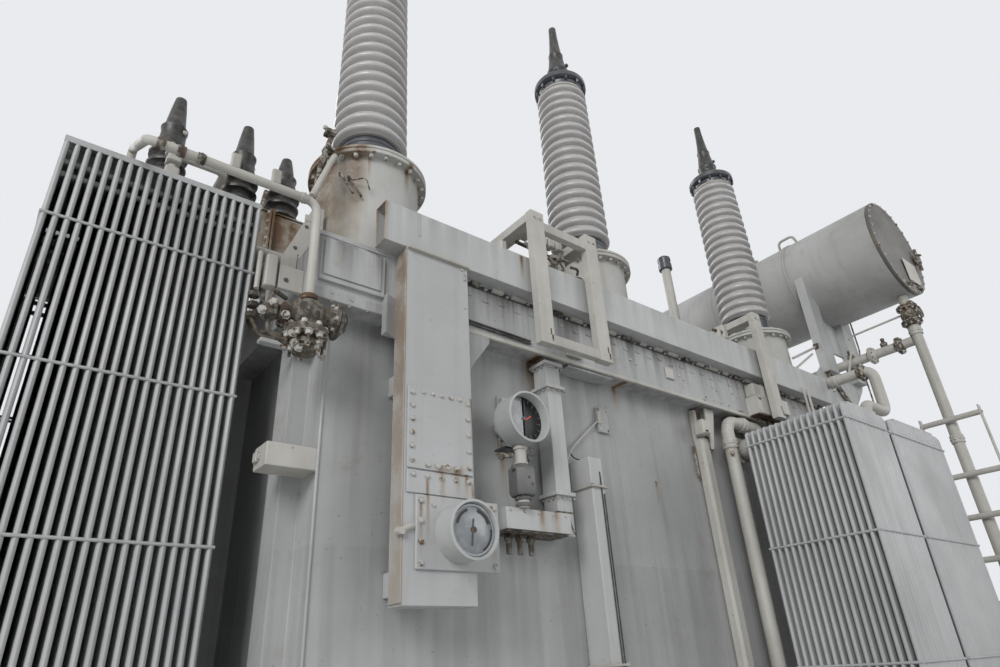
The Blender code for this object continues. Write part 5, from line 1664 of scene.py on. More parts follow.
@dataclass
class Gauges(Assembly):
    """The level gauge on its plate, the dial thermometer in its hood, and the junction box below."""

    name: str = "gauge_trim"
    level: tuple[float, float] = (-1.80, 2.235)
    level_back: float = -1.4026
    dial: tuple[float, float] = (-1.36, 2.845)
    dial_back: float = -1.2906
    needle_y: float = -1.3666
    bracket_front: float = -1.1623
    box_y: float = -1.3228

    def build_hood(self, centre: Point, radius: float, depth: float, face: float, glass: Finish) -> None:
        """A round hood with a rolled lip and a face set back in it.

        Args:
            centre: middle of the hood's back, its axis running to the front.
            radius: outer radius.
            depth: length of the hood.
            face: how far the face lies from the back.
            glass: the face's finish.
        """
        r = radius
        line = [(r - 0.010, 0), (r, 0.0), (r, depth - 0.012), (r + 0.003, depth - 0.009)]
        line += [(r + 0.003, depth - 0.002), (r, depth), (r - 0.008, depth), (r - 0.010, depth - 0.004)]
        self.add(Finish.DUCT, ring(line, 64, centre, FRONT))
        back = [(r - 0.011, 0), (r - 0.011, face - 0.002), (r - 0.014, face)]
        self.add(glass, lathe(back, 64, centre, FRONT))

    def arc(self, centre: Point, radius: float, width: float, first: float, last: float) -> Shape:
        """A thin curved mark on a face.

        Args:
            centre: the face's middle.
            radius: the arc's radius.
            width: the mark's width.
            first: where it starts, in degrees from the right.
            last: where it ends.

        Returns:
            The shape.
        """
        t = np.radians(np.linspace(first, last, 20))
        away = np.stack([np.cos(t), 0 * t, np.sin(t)], -1)
        thick, half = 0.0008, width / 2
        outline = np.array([(-thick, -half), (thick, -half), (thick, half), (-thick, half)])
        path = np.asarray(centre, float) + radius * away
        deep = outline[None, :, :1] * np.array(REAR, float)
        return Shape().add_grid(path[:, None] + deep + outline[None, :, 1:] * away[:, None])

    def build_level(self) -> None:
        """The level gauge: hood, glassy face and its curved dark scale."""
        x, z = self.level
        self.build_hood((x, self.level_back, z), 0.122, 0.12, 0.102, Finish.GAUGE_GLASS)
        face = (x, -1.506, z)
        self.each(
            Finish.DIAL_BLACK, self.arc,
            (face, 0.085, 0.014, 20, 75),
            (face, 0.085, 0.010, 110, 165),
            (face, 0.092, 0.006, -60, 5),
        )
        bezel = [(0.098, 0), (0.106, 0), (0.106, 0.003), (0.098, 0.003)]
        self.add(Finish.GAUGE_GLASS, ring(bezel, 48, (x, -1.5046, z), FRONT))
        self.add(Finish.CEMENT_AND_PAINTED_SHADE, rod((x - 0.01, -1.508, 2.17), (x, -1.508, 2.28), 0.003, 8))
        pivot = [(0.014, 0), (0.012, 0.008), (0.006, 0.01)]
        self.add(Finish.FITTING, lathe(pivot, 16, (x, -1.505, z), FRONT))

    def build_dial(self) -> None:
        """The thermometer: a pale hood, a black and pale face, ticks, a needle and its glass bar."""
        (x, z), y = self.dial, self.needle_y
        self.build_hood((x, self.dial_back, z), 0.132, 0.13, 0.075, Finish.DIAL_BLACK)
        t = np.linspace(0, np.pi, 25)
        half_disc = 0.116 * np.stack([np.sin(t), np.cos(t)], -1)
        self.add(Finish.GAUGE_GLASS, slab(half_disc, 0.002, axes_frame((x - 0.012, y, z), LEFT, DOWN)))
        for k, angle in enumerate(np.radians(np.linspace(-66, 70, 8))):
            way = np.array([math.cos(angle), 0, math.sin(angle)])
            middle = np.array((x, y - 0.001, z))
            inner = 0.098 if k % 3 else 0.088
            self.add(Finish.GAUGE_GLASS, rod(middle + way * inner, middle + way * 0.112, 0.0018, 6))
        low, high = np.array((x, y, z - 0.105)), np.array((x, y, z + 0.108))
        bar, line = (0.002, -0.006, 0), (-0.012, -0.003, 0)
        self.add(Finish.DIAL_BLACK, rod(low + bar, high + bar, 0.006, 8))
        self.add(Finish.DIAL_WHITE, rod(low + line, high + line, 0.0014, 8))
        tail, tip = (x, y - 0.014, z - 0.008), (x + 0.036, y - 0.014, z + 0.016)
        self.add(Finish.DIAL_ORANGE, rod(tail, tip, 0.0032, 8))
        self.add(Finish.CEMENT_AND_PAINTED_SHADE, lathe([(0.014, 0), (0.014, 0.008), (0.01, 0.011)], 20, (x, y, z), FRONT))

    def build_mount(self) -> None:
        """The stub behind the hood, the plate's bolts and clamps, and the fitting under it."""
        (x, z), face = self.dial, self.bracket_front
        self.add(Finish.PIPE, rod((x, face, z), (x, -1.291, z), 0.035, 24))
        for across in (-1.335, -1.145):
            for up in (3.02, 2.77):
                self.bolts([(across, face, up)], FRONT, 0.013)
        self.add(Finish.PIPE, block((-1.345, -1.185, 2.985), (-1.30, face, 3.035)))
        self.add(Finish.CEMENT_AND_PAINTED_SHADE, block((-1.40, -1.25, 2.722), (-1.28, face, 2.732), 0.002))
        self.each(
            Finish.FITTING, rod,
            ((-1.46, -1.30, 2.655), (-1.40, -1.31, 2.665), 0.013, 6),
            ((-1.475, -1.30, 2.652), (-1.455, -1.30, 2.655), 0.018, 10),
        )
        lever = [(-1.33, -1.32, 2.67), (-1.28, -1.30, 2.665), (-1.20, -1.17, 2.67)]
        self.add(Finish.FITTING, tube(lever, 0.006, 0.03, 8))

    def build_box(self) -> None:
        """The cast junction box: eight-sided, with screws, a lug and couplings above and below."""
        x, y = self.dial[0], self.box_y
        share = np.array([0.86, 1.0, 1.0, 0.86])[:, None, None]
        level = np.array([2.46, 2.475, 2.588, 2.60])[:, None, None]
        body = cut_corner_outline(np.array(0.06), np.array(0.06), 0.028) * share
        rings = np.concatenate([body, np.broadcast_to(level, (4, 8, 1))], -1)
        self.add(Finish.CAST, Shape().add_grid(rings + np.array([x, y, 0])))
        screw = [(0.007, 0), (0.007, 0.003)]
        for across, up in ((-0.004, 2.542), (0.016, 2.51)):
            self.add(Finish.BOOT, lathe(screw, 12, (x + across, y - 0.060, up), FRONT))
        self.add(Finish.CAST, rod((x - 0.075, y - 0.02, 2.59), (x - 0.045, y - 0.02, 2.59), 0.011, 12))
        self.add(Finish.PIPE, rod((x, y, 2.4053), (x, y, 2.7127), 0.03, 28))
        for level in (2.61, 2.69):
            self.add(Finish.PIPE, lathe(collar_profile(0.036, 0.021, 0.006, 0.003), 28, (x, y, level)))
        for level, size in ((2.598, 0.042), (2.44, 0.042), (2.408, 0.038)):
            self.add(Finish.CAST, lathe(collar_profile(size, 0.02, size * 0.1, 0.004), 8, (x, y, level)))

    def dress(self) -> None:
        """Places the gauges."""
        self.build_level()
        self.build_dial()
        self.build_mount()
        self.build_box()
        self.place(["dial_gauge", "junction_box"])
        plate = Assembly("level_gauge_plate")
        plate.add(Finish.DUCT, block((-2.015, self.level_back, 2.085), (-1.585, -1.3906, 2.385)))
        plate.place(["level_gauge"])
        softened("dial_bracket", Finish.TANK, 0.003)


@dataclass
class WallDucts(Assembly):
    """The square wireway, the arm at its foot, the riser, the post and the thermometer plate."""

    name: str = "wall_duct_trim"
    flange_levels: tuple[float, ...] = (3.25, 3.108, 2.504)
    flange_half: float = 0.0105
    wall_front: float = -1.1503
    plate_front: float = -1.1703
    post_front: float = -1.2003

    def build_wireway(self) -> None:
        """Bolts on the wireway's flanges, its foot strip, and the glands under the arm."""
        for middle in self.flange_levels:
            for side, way in ((-1, DOWN), (1, UP)):
                z = middle + side * self.flange_half
                self.bolt_lines(
                    way,
                    ((-1.108, -1.296, z), (-0.982, -1.296, z), 4, 0.007),
                    ((-1.108, -1.262, z), (-1.108, -1.19, z), 3, 0.007),
                    ((-0.982, -1.262, z), (-0.982, -1.19, z), 3, 0.007),
                )
        self.add(Finish.FITTING, block((-1.10, -1.287, 2.415), (-0.99, -1.18, 2.424), 0.002))
        self.add(Finish.FITTING, rod((-1.045, -1.287, 2.41), (-0.992, -1.287, 2.31), 0.004, 6))
        self.bolt_lines(FRONT, ((-1.44, -1.3155, 2.39), (-1.08, -1.3155, 2.39), 5, 0.006))
        self.add(Finish.VALVE, block((-1.455, -1.305, 2.294), (-1.06, -1.165, 2.3035)))
        for x in (-1.40, -1.33, -1.26):
            self.add(Finish.VALVE, rod((x, -1.24, 2.20), (x, -1.24, 2.296), 0.014, 12))
            self.add(Finish.VALVE, lathe(collar_profile(0.023, 0.025, 0.003, 0.005), 6, (x, -1.24, 2.262)))

    def build_riser(self) -> None:
        """The riser's flanges, its clips and the thin tubes beside it."""
        for z in (2.57, 1.70):
            self.add(Finish.PIPE, block((-0.87, -1.325, z), (-0.74, -1.155, z + 0.012)))
            self.bolt_lines(UP, ((-0.86, -1.318, z + 0.012), (-0.75, -1.318, z + 0.012), 3, 0.007))
        for x, top in ((-0.785, 2.66), (-0.768, 2.54)):
            self.add(Finish.BOOT, rod((x, -1.313, 1.25), (x, -1.313, top), 0.004, 8))
        self.add(Finish.FITTING, rod((-0.895, -1.165, 2.60), (-0.895, -1.165, 2.72), 0.007, 8))
        capillary = [(-0.582, -1.166, 3.035), (-0.60, -1.17, 3.03), (-0.80, -1.17, 2.86)]
        capillary += [(-0.875, -1.175, 2.78), (-0.895, -1.165, 2.70)]
        self.add(Finish.PIPE, tube(capillary, 0.0055, 0.06, 8))
        loop = [(-0.86, -1.17, 2.80), (-0.84, -1.18, 2.765), (-0.72, -1.17, 2.76), (-0.68, -1.16, 2.74)]
        self.add(Finish.BOOT, tube(loop, 0.004, 0.03, 8))
        y = self.plate_front
        self.bolts([(x, y, z) for z in (3.115, 2.985) for x in (-0.577, -0.503)], FRONT, 0.008)
        self.add(Finish.PIPE, block((-0.592, -1.178, 3.02), (-0.565, y, 3.10), 0.002))

    def build_post(self) -> None:
        """The post with its small head, the rusted stripe beside it, the gusset and the latch."""
        post = Assembly("wall_post")
        post.each(
            Finish.PIPE, block,
            ((0.375, -1.225, 0.45), (0.47, self.wall_front, 3.09), 0.018),
            ((0.345, -1.28, 3.085), (0.415, -1.20, 3.185), 0.008),
            ((0.385, -1.20, 3.02), (0.465, self.wall_front, 3.29), 0.004),
        )
        gusset = [(0.455, 3.30), (0.56, 3.30), (0.475, 3.0), (0.455, 3.0)]
        post.add(Finish.PIPE, upright(gusset, 0.012, (0, -1.232, 0)))
        post.place(["wall_post"])
        self.add(Finish.RUST, block((0.405, -1.2055, 3.05), (0.45, self.post_front, 3.28), 0.001))
        self.bolts([(0.395, -1.2805, 3.10)], FRONT, 0.014)
        self.add(Finish.FITTING, block((0.36, -1.29, 3.10), (0.385, -1.2805, 3.11), 0.002))
        self.add(Finish.PIPE, block((0.37, -1.262, 3.186), (0.43, -1.22, 3.20), 0.004))
        self.add(Finish.FITTING, rod((0.345, -1.17, 2.80), (0.345, -1.17, 3.02), 0.010, 10))
        latch = [(0.52, -1.16, 3.12), (0.55, -1.20, 3.07), (0.54, -1.16, 3.0)]
        self.add(Finish.FITTING, tube(latch, 0.012, 0.03, 8))

    def dress(self) -> None:
        """Places the ducts and the trim."""
        self.build_wireway()
        self.build_riser()
        self.build_post()
        self.place()
        for node in ("wireway", "cable_riser"):
            softened(node, Finish.TROUGH, 0.006)
        softened("thermometer_plate", Finish.TANK, 0.003)


@dataclass
class Brackets(Assembly):
    """The frames that straddle the trough, with the rod of fittings behind them."""

    name: str = "bracket_trim"
    uprights: tuple[float, ...] = (-1.218, -0.765, 1.11)
    front: float = -1.4612
    blocks: tuple[float, ...] = (-1.14, -1.07, -1.0, -0.94, -0.87)

    def build_feet(self) -> None:
        """Notches with rust, foot plates and bolts at the brackets' feet."""
        for x in self.uprights:
            self.each(
                Finish.RUST, block,
                ((x + 0.020, self.front, 3.338), (x + 0.029, -1.4598, 3.376), 0.0005),
                ((x + 0.028, self.front, 3.300), (x + 0.040, -1.4598, 3.338), 0.0005),
            )
            self.add(Finish.PIPE, block((x - 0.054, -1.4633, 3.277), (x + 0.054, -1.41, 3.284), 0.002))
            self.bolts([(x - 0.02, -1.4603, 4.12), (x + 0.02, -1.4603, 4.12)], FRONT, 0.009)

    def build_rod(self) -> None:
        """Blocks and clamps on a thin rod behind the trough, between the left and the middle bracket."""
        self.add(Finish.PIPE, rod((-1.19, -1.25, 4.15), (-0.76, -1.25, 4.15), 0.012, 10))
        self.add(Finish.FITTING, rod((-1.19, -1.22, 4.10), (-0.76, -1.22, 4.085), 0.012, 8))
        self.add(Finish.PIPE, rod((-1.19, -1.30, 4.05), (-0.90, -1.26, 4.02), 0.010, 8))
        for k, x in enumerate(self.blocks):
            high = (x + 0.024, -1.225, 4.205 - 0.014 * (k % 2))
            self.add(Finish.PIPE, block((x - 0.024, -1.285, 4.12), high, 0.006))
            self.bolts([(x + 0.034, -1.24, 4.09)], DOWN, 0.014, 0.02)
        self.add(Finish.PIPE, rod((-0.83, -1.24, 3.80), (-0.83, -1.24, 4.09), 0.026, 16))
        self.add(Finish.FITTING, block((-0.87, -1.28, 4.055), (-0.79, -1.20, 4.075), 0.004))
        self.each(
            Finish.FITTING, tube,
            ([(-0.78, -1.27, 4.03), (-0.74, -1.30, 4.01), (-0.71, -1.26, 4.0)], 0.009, 0.02, 10),
            ([(-0.80, -1.30, 3.93), (-0.75, -1.33, 3.92), (-0.71, -1.30, 3.93)], 0.008, 0.02, 10),
        )
        spring = [(-0.02, 0.01, 3.94), (-0.035, 0, 3.98), (0, 0, 4.005)]
        spring += [(0.03, 0, 3.96), (0.005, 0.01, 3.945)]
        for x in (-1.0, -0.90):
            self.add(Finish.FITTING, tube(np.array(spring) + (x, -1.30, 0), 0.006, 0.02, 8))

    def build_side_fittings(self) -> None:
        """The fittings left of the left bracket and behind the right one."""
        self.add(Finish.PIPE, block((-1.33, -1.24, 3.98), (-1.28, -1.19, 4.06), 0.01))
        self.add(Finish.PIPE, block((0.96, -1.24, 4.0), (1.02, -1.18, 4.13), 0.008))
        self.add(Finish.PIPE, rod((0.90, -1.22, 3.80), (0.90, -1.22, 4.08), 0.024, 14))
        self.add(Finish.FITTING, rod((0.84, -1.22, 4.05), (1.06, -1.22, 4.07), 0.014, 10))

    def dress(self) -> None:
        """Places the brackets."""
        self.build_feet()
        self.build_rod()
        self.build_side_fittings()
        self.place()
        for side in ("left", "middle", "right"):
            softened(f"trough_bracket_{side}", Finish.PIPE, 0.005)


@dataclass
class TerminalBoxes(Assembly):
    """The small terminal boxes at the foot of the right bracket, with a rusty tray under them."""

    name: str = "terminal_boxes"
    back: float = -1.2806
    glands: tuple[float, ...] = (1.0, 1.12, 1.2, 1.3)

    def dress(self) -> None:
        """Builds and places the boxes, their tray, screws and glands, and the rods right of them."""
        y = self.back
        self.each(
            Finish.PIPE, block,
            ((0.985, y - 0.075, 3.472), (1.065, y, 3.572), 0.005),
            ((0.955, y - 0.112, 3.312), (1.105, y, 3.462), 0.005),
            ((1.215, y - 0.085, 3.50), (1.325, y, 3.608), 0.005),
            ((1.215, y - 0.10, 3.385), (1.305, y, 3.492), 0.005),
            ((1.318, y - 0.10, 3.372), (1.405, y, 3.492), 0.005),
            ((1.05, y - 0.06, 3.36), (1.17, y, 3.59), 0.004),
        )
        self.add(Finish.RUST, block((1.09, y - 0.085, 3.313), (1.39, y, 3.372), 0.006))
        self.add(Finish.CEMENT_AND_PAINTED_SHADE, block((1.28, y - 0.09, 3.325), (1.38, y - 0.085, 3.362), 0.001))
        self.add(Finish.RUST, block((0.945, y - 0.10, 3.305), (1.36, y - 0.02, 3.317), 0.002))
        self.add(Finish.FITTING, block((0.955, y - 0.118, 3.42), (0.985, y - 0.112, 3.436), 0.002))
        face = y - 0.112
        self.bolts([(0.95, face, 3.45), (0.95, face, 3.335), (1.085, face, 3.45)], FRONT, 0.006)
        for x in self.glands:
            self.add(Finish.RUST, rod((x, y - 0.05, 3.26), (x, y - 0.05, 3.31), 0.012, 8))
        for x in (1.69, 1.76):
            self.add(Finish.PIPE, rod((x, -1.40, 3.38), (x, -1.40, 3.67), 0.010, 8))
        self.place(["terminal_box"])


@dataclass
class Pipework(Assembly):
    """The oil pipes with their unions, flanges and valves."""

    name: str = "pipe_fittings"
    pipe: float = 0.045
    thin: float = 0.021
    top_y: float = -1.34
    top_z: float = 3.72
    corner_x: float = -2.53
    drum_x: float = 3.12
    drain_y: float = -1.93
    relief: tuple[float, float] = (1.54, -0.43)
    valve_z: float = 4.53

    def run(self, node: str, points: Sequence[Point], radius: float, reach: float = 0.1) -> None:
        """Places one pipe with its elbows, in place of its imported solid."""
        pipe = Assembly(node)
        pipe.add(Finish.PIPE, tube(points, radius, reach, 24))
        pipe.place([node])

    def build_top(self) -> None:
        """The thin pipe over the tall radiators, its post and the vent pipe behind it."""
        x, y, z, left = self.corner_x, self.top_y, self.top_z, -3.27
        path = [(left, -0.645, 4.0403), (left, -0.645, 4.20), (left, y, z), (x, y, z), (x, y, 3.20)]
        self.run("top_header_pipe", path, self.thin, 0.07)
        x, y, top = -3.077, -0.645, 4.26
        path = [(x, y, 4.0403), (x, y, top), (-2.817, y, top), (-2.817, -0.2003, top)]
        self.run("vent_pipe", path, self.thin, 0.05)
        for x in (-3.22, -3.14, -3.06, -2.60):
            finish = Finish.FITTING if x < -3 else Finish.PIPE
            self.union(finish, (x, self.top_y, self.top_z), RIGHT, self.thin)
        for z in (4.10, 4.19):
            self.add(Finish.PIPE, block((-3.112, -0.685, z), (-3.042, -0.605, z + 0.06), 0.008))
        for x in (-3.099, -3.055):
            self.add(Finish.PIPE, rod((x, -0.66, 4.27), (x, -0.66, 4.315), 0.017, 14))
        self.add(Finish.PIPE, block((-3.122, -0.70, 4.24), (-3.032, -0.62, 4.285), 0.008))
        self.add(Finish.FITTING, block((-3.33, -0.69, 4.041), (-3.21, -0.60, 4.07), 0.005))
        self.add(Finish.PIPE, block((-3.122, -0.70, 4.041), (-3.032, -0.59, 4.075), 0.005))

    def build_valve(self) -> None:
        """The corroded valve at the tank's corner: a round body on a wheel of bolts and hanging nuts."""
        x, y = self.corner_x, self.top_y
        body = [(0.03, 2.925), (0.05, 2.93), (0.05, 2.955), (0.064, 2.96), (0.064, 2.98), (0.045, 2.986)]
        body += [(0.045, 2.998), (0.094, 3.002), (0.096, 3.018), (0.094, 3.034), (0.055, 3.04)]
        body += [(0.062, 3.06), (0.078, 3.09), (0.08, 3.125), (0.07, 3.155), (0.045, 3.172), (0.034, 3.18)]
        self.add(Finish.VALVE, lathe(body, 36, (x, y, 0)))
        self.add(Finish.RUST, lathe(collar_profile(0.038, 0.032, 0.008, 0.005), 24, (x, y, 3.18)))
        self.bolts(around((x, y, 3.034), 0.08, 8, UP, 0.3), UP, 0.013, 0.02)
        self.bolts(around((x, y, 3.002), 0.08, 10, UP, 0.1), DOWN, 0.016, 0.02)
        self.bolts(around((x, y, 2.96), 0.054, 7, UP, 0.5), DOWN, 0.013, 0.02)
        for k, spot in enumerate(around((x, y, 2.99), 0.083, 10, UP, 0.1)):
            end = spot - np.array([0, 0, 0.025 + 0.014 * (k % 3)])
            self.add(Finish.VALVE, rod(spot, end, 0.0065, 8))
            if k % 2:
                self.bolts(end, DOWN, 0.013, 0.014)

    def build_side_valves(self) -> None:
        """The blind flange right of the corroded valve, and a smaller valve with its nuts to the left."""
        x, y = self.corner_x, self.top_y
        self.add(Finish.VALVE, rod((x, y, 3.115), (-2.42, y, 3.115), 0.048, 24))
        self.flange(Finish.VALVE, (-2.405, y, 3.115), RIGHT, 0.048, 0.082, 0.014)
        self.add(Finish.VALVE, rod((x, y, 3.10), (-2.66, y, 3.09), 0.034, 20))
        nut = [(0.034, 0), (0.05, 0.006), (0.05, 0.022), (0.03, 0.028)]
        self.add(Finish.RUST, lathe(nut, 8, (-2.62, y, 3.094), LEFT))
        self.add(Finish.VALVE, block((-2.72, -1.37, 3.05), (-2.66, -1.30, 3.13), 0.012))
        above = [(-2.69, -1.33, 3.12), (-2.69, -1.33, 3.20), (-2.60, -1.25, 3.22)]
        below = [(-2.69, -1.33, 3.06), (-2.69, -1.33, 3.0), (-2.60, -1.31, 2.97), (-2.56, -1.33, 2.97)]
        self.each(Finish.VALVE, tube, (above, 0.011, 0.04, 12), (below, 0.010, 0.03, 12))
        upper = [(-2.69, -1.375, 3.11), (-2.64, -1.385, 3.06), (-2.73, -1.36, 3.07)]
        lower = [(-2.60, -1.38, 2.99), (-2.58, -1.36, 2.955), (-2.57, -1.38, 2.93)]
        for spot in upper + lower:
            self.bolts([spot], FRONT, 0.016, 0.018)

    def build_header_pipe(self) -> None:
        """The pipe from the cover over to the front radiators, with its flanges and union."""
        x, y, top, low = 2.30, -1.74, 3.85, 3.45
        path = [(x, -1.12, 3.6306), (x, -1.12, top), (x, y, top)]
        path += [(x, y, low), (1.90, y, low), (1.90, y, 3.1203)]
        self.run("front_header_pipe", path, self.pipe)
        sleeve = collar_profile(0.056, 0.105, 0.006, 0.005)
        self.add(Finish.PIPE, lathe(sleeve, 24, (x, -1.30, top), REAR))
        self.union(Finish.PIPE, (x, -1.40, top), REAR, self.pipe)
        self.flange(Finish.FITTING, (x, -1.655, top), REAR, self.pipe, 0.078, 0.012)
        self.add(Finish.PIPE, ring(flange_profile(0.04, 0.09, 0.018), 28, (x, -1.12, 3.6308)))

    def build_wall_pipe(self) -> None:
        """The pipe down the front wall, with its unions and the rusty plate over its bend."""
        x, y, top, wall = 0.66, -1.26, 3.235, -1.1503
        path = [(x, wall, 0.90), (x, y, 0.90), (x, y, top), (1.08, y, top), (1.08, wall, top)]
        self.run("wall_oil_pipe", path, self.pipe)
        for z in (3.06, 1.6):
            self.union(Finish.PIPE, (x, y, z), UP, self.pipe)
        self.union(Finish.PIPE, (0.86, y, top), RIGHT, self.pipe)
        self.add(Finish.RUST, block((0.79, -1.215, 3.29), (1.0, wall, 3.30), 0.002))
        self.add(Finish.FITTING, rod((0.60, -1.30, 2.98), (0.63, -1.28, 2.98), 0.014, 8))

    def build_drum_pipe(self) -> None:
        """The pipe from under the drum to the cover, with its flanges, taps and thin rods."""
        x, z = self.drum_x, 4.28
        path = [(x, -1.885, z), (x, -0.30, z), (2.10, -0.30, 4.02), (2.10, -0.30, 3.6306)]
        self.run("conservator_pipe", path, self.pipe, 0.16)
        for y in (-1.50, -1.76, -0.75):
            finish = Finish.FITTING if y < -1.6 else Finish.PIPE
            self.flange(finish, (x, y, z), REAR, self.pipe, 0.085, 0.014)
        nut = [(0.03, 0), (0.034, 0.005), (0.034, 0.03), (0.026, 0.035)]
        for y in (-1.63, -1.30):
            self.add(Finish.FITTING, rod((x, y, z), (x, y, 4.41), 0.018, 14), lathe(nut, 8, (x, y, 4.33)))
        self.flange(Finish.PIPE, (2.10, -0.30, 3.655), UP, self.pipe, 0.09, 0.016)
        self.each(
            Finish.PIPE, rod,
            ((x, -1.38, 4.55), (x, -1.88, 4.56), 0.010, 8),
            ((2.10, -1.2, 4.12), (2.66, -1.2, 4.385), 0.012, 8),
            ((2.13, -1.2, 4.035), (2.52, -1.2, 4.27), 0.010, 8),
        )
        self.add(Finish.FITTING, block((2.60, -1.24, 4.345), (2.70, -1.19, 4.40), 0.006))

    def build_drain(self) -> None:
        """The pipe from the drum's near end down to the ground, with its valve and wheel."""
        x, y, z = self.drum_x, self.drain_y, self.valve_z
        pipe = Assembly("drain_pipe")
        pipe.add(Finish.PIPE, rod((x, y, 0.0), (x, y, 4.7365), self.pipe, 28))
        pipe.place(["drain_pipe"])
        for level in (4.455, 4.61):
            self.flange(Finish.FITTING, (x, y, level), UP, self.pipe, 0.09, 0.014)
        body = [(0.05, 0), (0.072, 0.02), (0.075, 0.05), (0.066, 0.085), (0.05, 0.1)]
        self.add(Finish.FITTING, lathe(body, 24, (x, y, 4.48)), rod((x, y, z), (x, y - 0.1, z), 0.016, 12))
        middle = np.array((x, y - 0.095, z))
        wheel = [(0.05, -0.006), (0.062, -0.006), (0.062, 0.006), (0.05, 0.006)]
        self.add(Finish.FITTING, ring(wheel, 28, middle, FRONT))
        for way in (RIGHT, UP):
            spoke = np.array(way) * 0.055
            self.add(Finish.FITTING, rod(middle - spoke, middle + spoke, 0.006, 8))
        for level, radius in ((4.36, 0.047), (3.3, self.pipe), (1.2, self.pipe)):
            self.union(Finish.PIPE, (x, y, level), UP, radius)
        self.add(Finish.FITTING, block((3.08, -2.0, 4.63), (3.16, -1.95, 4.66), 0.005))
        self.add(Finish.PIPE, lathe(flange_profile(0.05, 0.10, 0.02), 28, (x, y, 0.0)))

    def build_relief(self) -> None:
        """The relief pipe with its dark cap and flanged foot."""
        x, y = self.relief
        pipe = Assembly("relief_pipe")
        pipe.add(Finish.PIPE, lathe([(self.pipe, 3.6306), (self.pipe, 5.30)], 28, (x, y, 0)))
        cap = [(0.06, 5.29), (0.0675, 5.295), (0.0675, 5.35), (0.06, 5.36), (0.062, 5.385)]
        cap += [(0.0675, 5.40), (0.064, 5.43), (0.04, 5.45)]
        pipe.add(Finish.CEMENT_AND_PAINTED_SHADE, lathe(cap, 28, (x, y, 0)))
        pipe.place(["relief_pipe"])
        self.flange(Finish.TANK, (x, y, 3.655), UP, self.pipe, 0.09, 0.016)
        self.union(Finish.PIPE, (x, y, 4.6), UP, self.pipe)

    def build_ladder(self) -> None:
        """Flat rails and round rungs before the drain pipe."""
        ladder = Assembly("side_ladder")
        half_wide, half_thick, gap = 0.025, 0.006, 0.0003
        x = self.drum_x - self.pipe - half_wide - gap
        for y in (-2.19, -1.72):
            low, high = (x - half_wide, y - half_thick, 0.0), (x + half_wide, y + half_thick, 3.52)
            ladder.add(Finish.PIPE, block(low, high, 0.002))
        for z in (3.46, 2.98, *np.arange(2.64, 0.29, -0.33)):
            ladder.add(Finish.PIPE, rod((x, -2.186, z), (x, -1.724, z), 0.0235, 16))
            ladder.bolts([(x, -2.197, z)], FRONT, 0.012)
            ladder.bolts([(x, -1.713, z)], REAR, 0.012)
        ladder.place(["side_ladder"])

    def dress(self) -> None:
        """Places the pipes and their fittings."""
        self.build_top()
        self.build_valve()
        self.build_side_valves()
        self.build_header_pipe()
        self.build_wall_pipe()
        self.build_drum_pipe()
        self.build_drain()
        self.build_relief()
        self.build_ladder()
        self.place()


# Stage


@dataclass(frozen=True)
class Lamp:
    """A square soft lamp at a place, turned to an aim."""

    name: str
    place: tuple[float, float, float]
    aim: tuple[float, float, float]
    power: float
    size: float = 14.0

    def add(self) -> None:
        """Links the lamp."""
        data = bpy.data.lights.new(self.name, "AREA")
        data.size, data.energy = self.size, self.power
        lamp = bpy.data.objects.new(self.name, data)
        turn = (Vector(self.aim) - Vector(self.place)).to_track_quat("-Z", "Y").to_matrix().to_4x4()
        lamp.matrix_world = Matrix.Translation(self.place) @ turn
        bpy.context.scene.collection.objects.link(lamp)


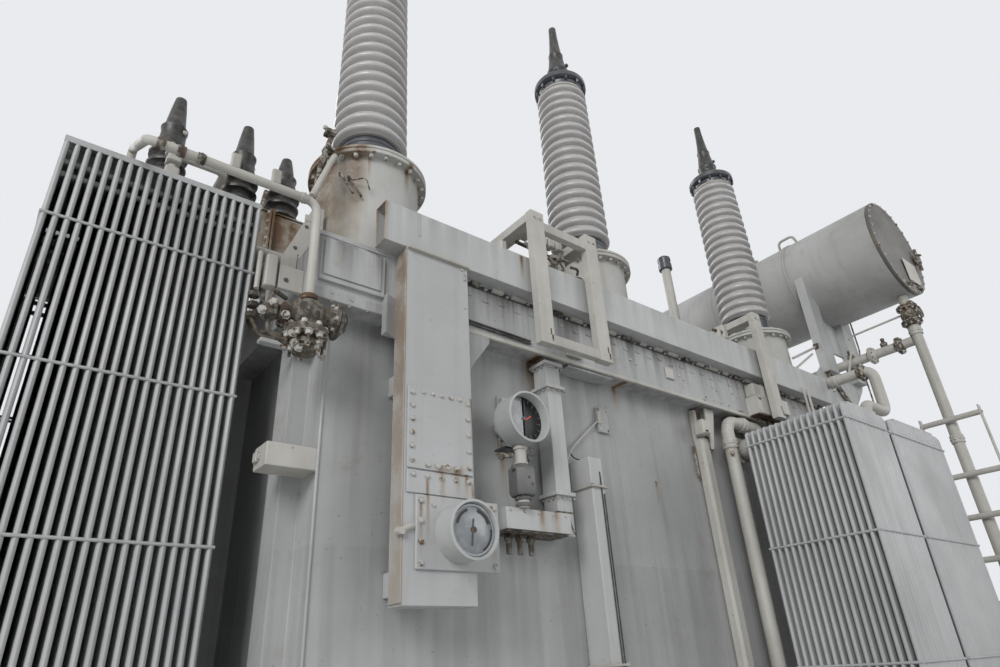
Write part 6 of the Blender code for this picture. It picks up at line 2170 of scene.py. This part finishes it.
@dataclass(frozen=True)
class Studio:
    """A pale floor, soft lamps and a camera at the angle of the photograph."""

    yaw: float = 39.41
    pitch: float = 27.37
    roll: float = -3.3
    lens: float = 23.6
    sensor: float = 36.0
    position: tuple[float, float, float] = (-3.45, -3.76, 1.70)
    floor_size: float = 60.0
    air: float = 0.38
    lamps: tuple[Lamp, ...] = (
        Lamp("key_lamp", (-25, -18, 17), (0, 0, 2.8), 6600),
        Lamp("fill_lamp", (20, -22, 12), (0, 0, 2.5), 1700),
        Lamp("back_lamp", (-8, 26, 19), (0, 0, 3), 3600),
    )

    def add_camera(self) -> None:
        """Sets the camera from its yaw about Z, its pitch upwards and its roll."""
        yaw, pitch, roll = (math.radians(a) for a in (self.yaw, self.pitch, self.roll))
        ahead = Vector((math.sin(yaw), math.cos(yaw), 0))
        right = Vector((math.cos(yaw), -math.sin(yaw), 0))
        up = Vector(UP)
        aim = ahead * math.cos(pitch) + up * math.sin(pitch)
        lifted = up * math.cos(pitch) - ahead * math.sin(pitch)
        side = right * math.cos(roll) + lifted * math.sin(roll)
        top = lifted * math.cos(roll) - right * math.sin(roll)
        data = bpy.data.cameras.new("photo_camera")
        data.lens, data.sensor_width = self.lens, self.sensor
        camera = bpy.data.objects.new("photo_camera", data)
        turn = Matrix((side, top, -aim)).transposed().to_4x4()
        camera.matrix_world = Matrix.Translation(self.position) @ turn
        bpy.context.scene.collection.objects.link(camera)
        bpy.context.scene.camera = camera

    def add_world(self) -> None:
        """A dim even light for the object, and a pale ground for what the camera sees behind it."""
        world = bpy.data.worlds.new("studio_air")
        world.use_nodes = True
        bpy.context.scene.world = world
        world.node_tree.nodes.clear()
        nodes = Nodes(world.node_tree)
        ray = nodes.add("LightPath").outputs
        seen = nodes.math("MAXIMUM", ray["Is Camera Ray"], ray["Is Glossy Ray"])
        seen = nodes.math("MAXIMUM", seen, ray["Is Transmission Ray"])
        even = nodes.add("Background", {"Color": linear("#F2F4F7"), "Strength": self.air})
        pale = nodes.add("Background", {"Color": linear("#E9EBEE"), "Strength": 1.0})
        mix = nodes.add("MixShader", {0: seen, 1: even.outputs[0], 2: pale.outputs[0]})
        nodes.add("OutputWorld", {0: mix.outputs[0]})

    def add_floor(self) -> None:
        """A flat pale floor, just under the ground's level."""
        half, z = self.floor_size / 2, -0.001
        mesh = bpy.data.meshes.new("studio_floor")
        corners = [(-half, -half, z), (half, -half, z), (half, half, z), (-half, half, z)]
        mesh.from_pydata(corners, [], [(0, 1, 2, 3)])
        floor = bpy.data.objects.new("studio_floor", mesh)
        material, nodes, shader = new_material("pale_floor")
        nodes.feed(shader, {"Base Color": linear("#DCDDDD"), "Roughness": 0.9})
        mesh.materials.append(material)
        bpy.context.scene.collection.objects.link(floor)

    def build(self) -> None:
        """Sets up the whole stage."""
        bpy.context.scene.view_settings.view_transform = "Standard"
        self.add_camera()
        self.add_world()
        self.add_floor()
        for lamp in self.lamps:
            lamp.add()


def main() -> None:
    """Builds the stage and every sub-assembly."""
    logging.basicConfig(level=logging.INFO, format="%(message)s")
    Studio().build()
    for radiator in radiators():
        radiator.dress()
    for name in ("left", "middle", "right"):
        HighBushing(name).dress()
    for part in (TurretFittings(), LowVoltageSide(), Conservator(), TankTop(), FrontDuct()):
        part.dress()
    for part in (Gauges(), WallDucts(), Brackets(), TerminalBoxes(), Pipework()):
        part.dress()


if __name__ == "__main__":
    main()
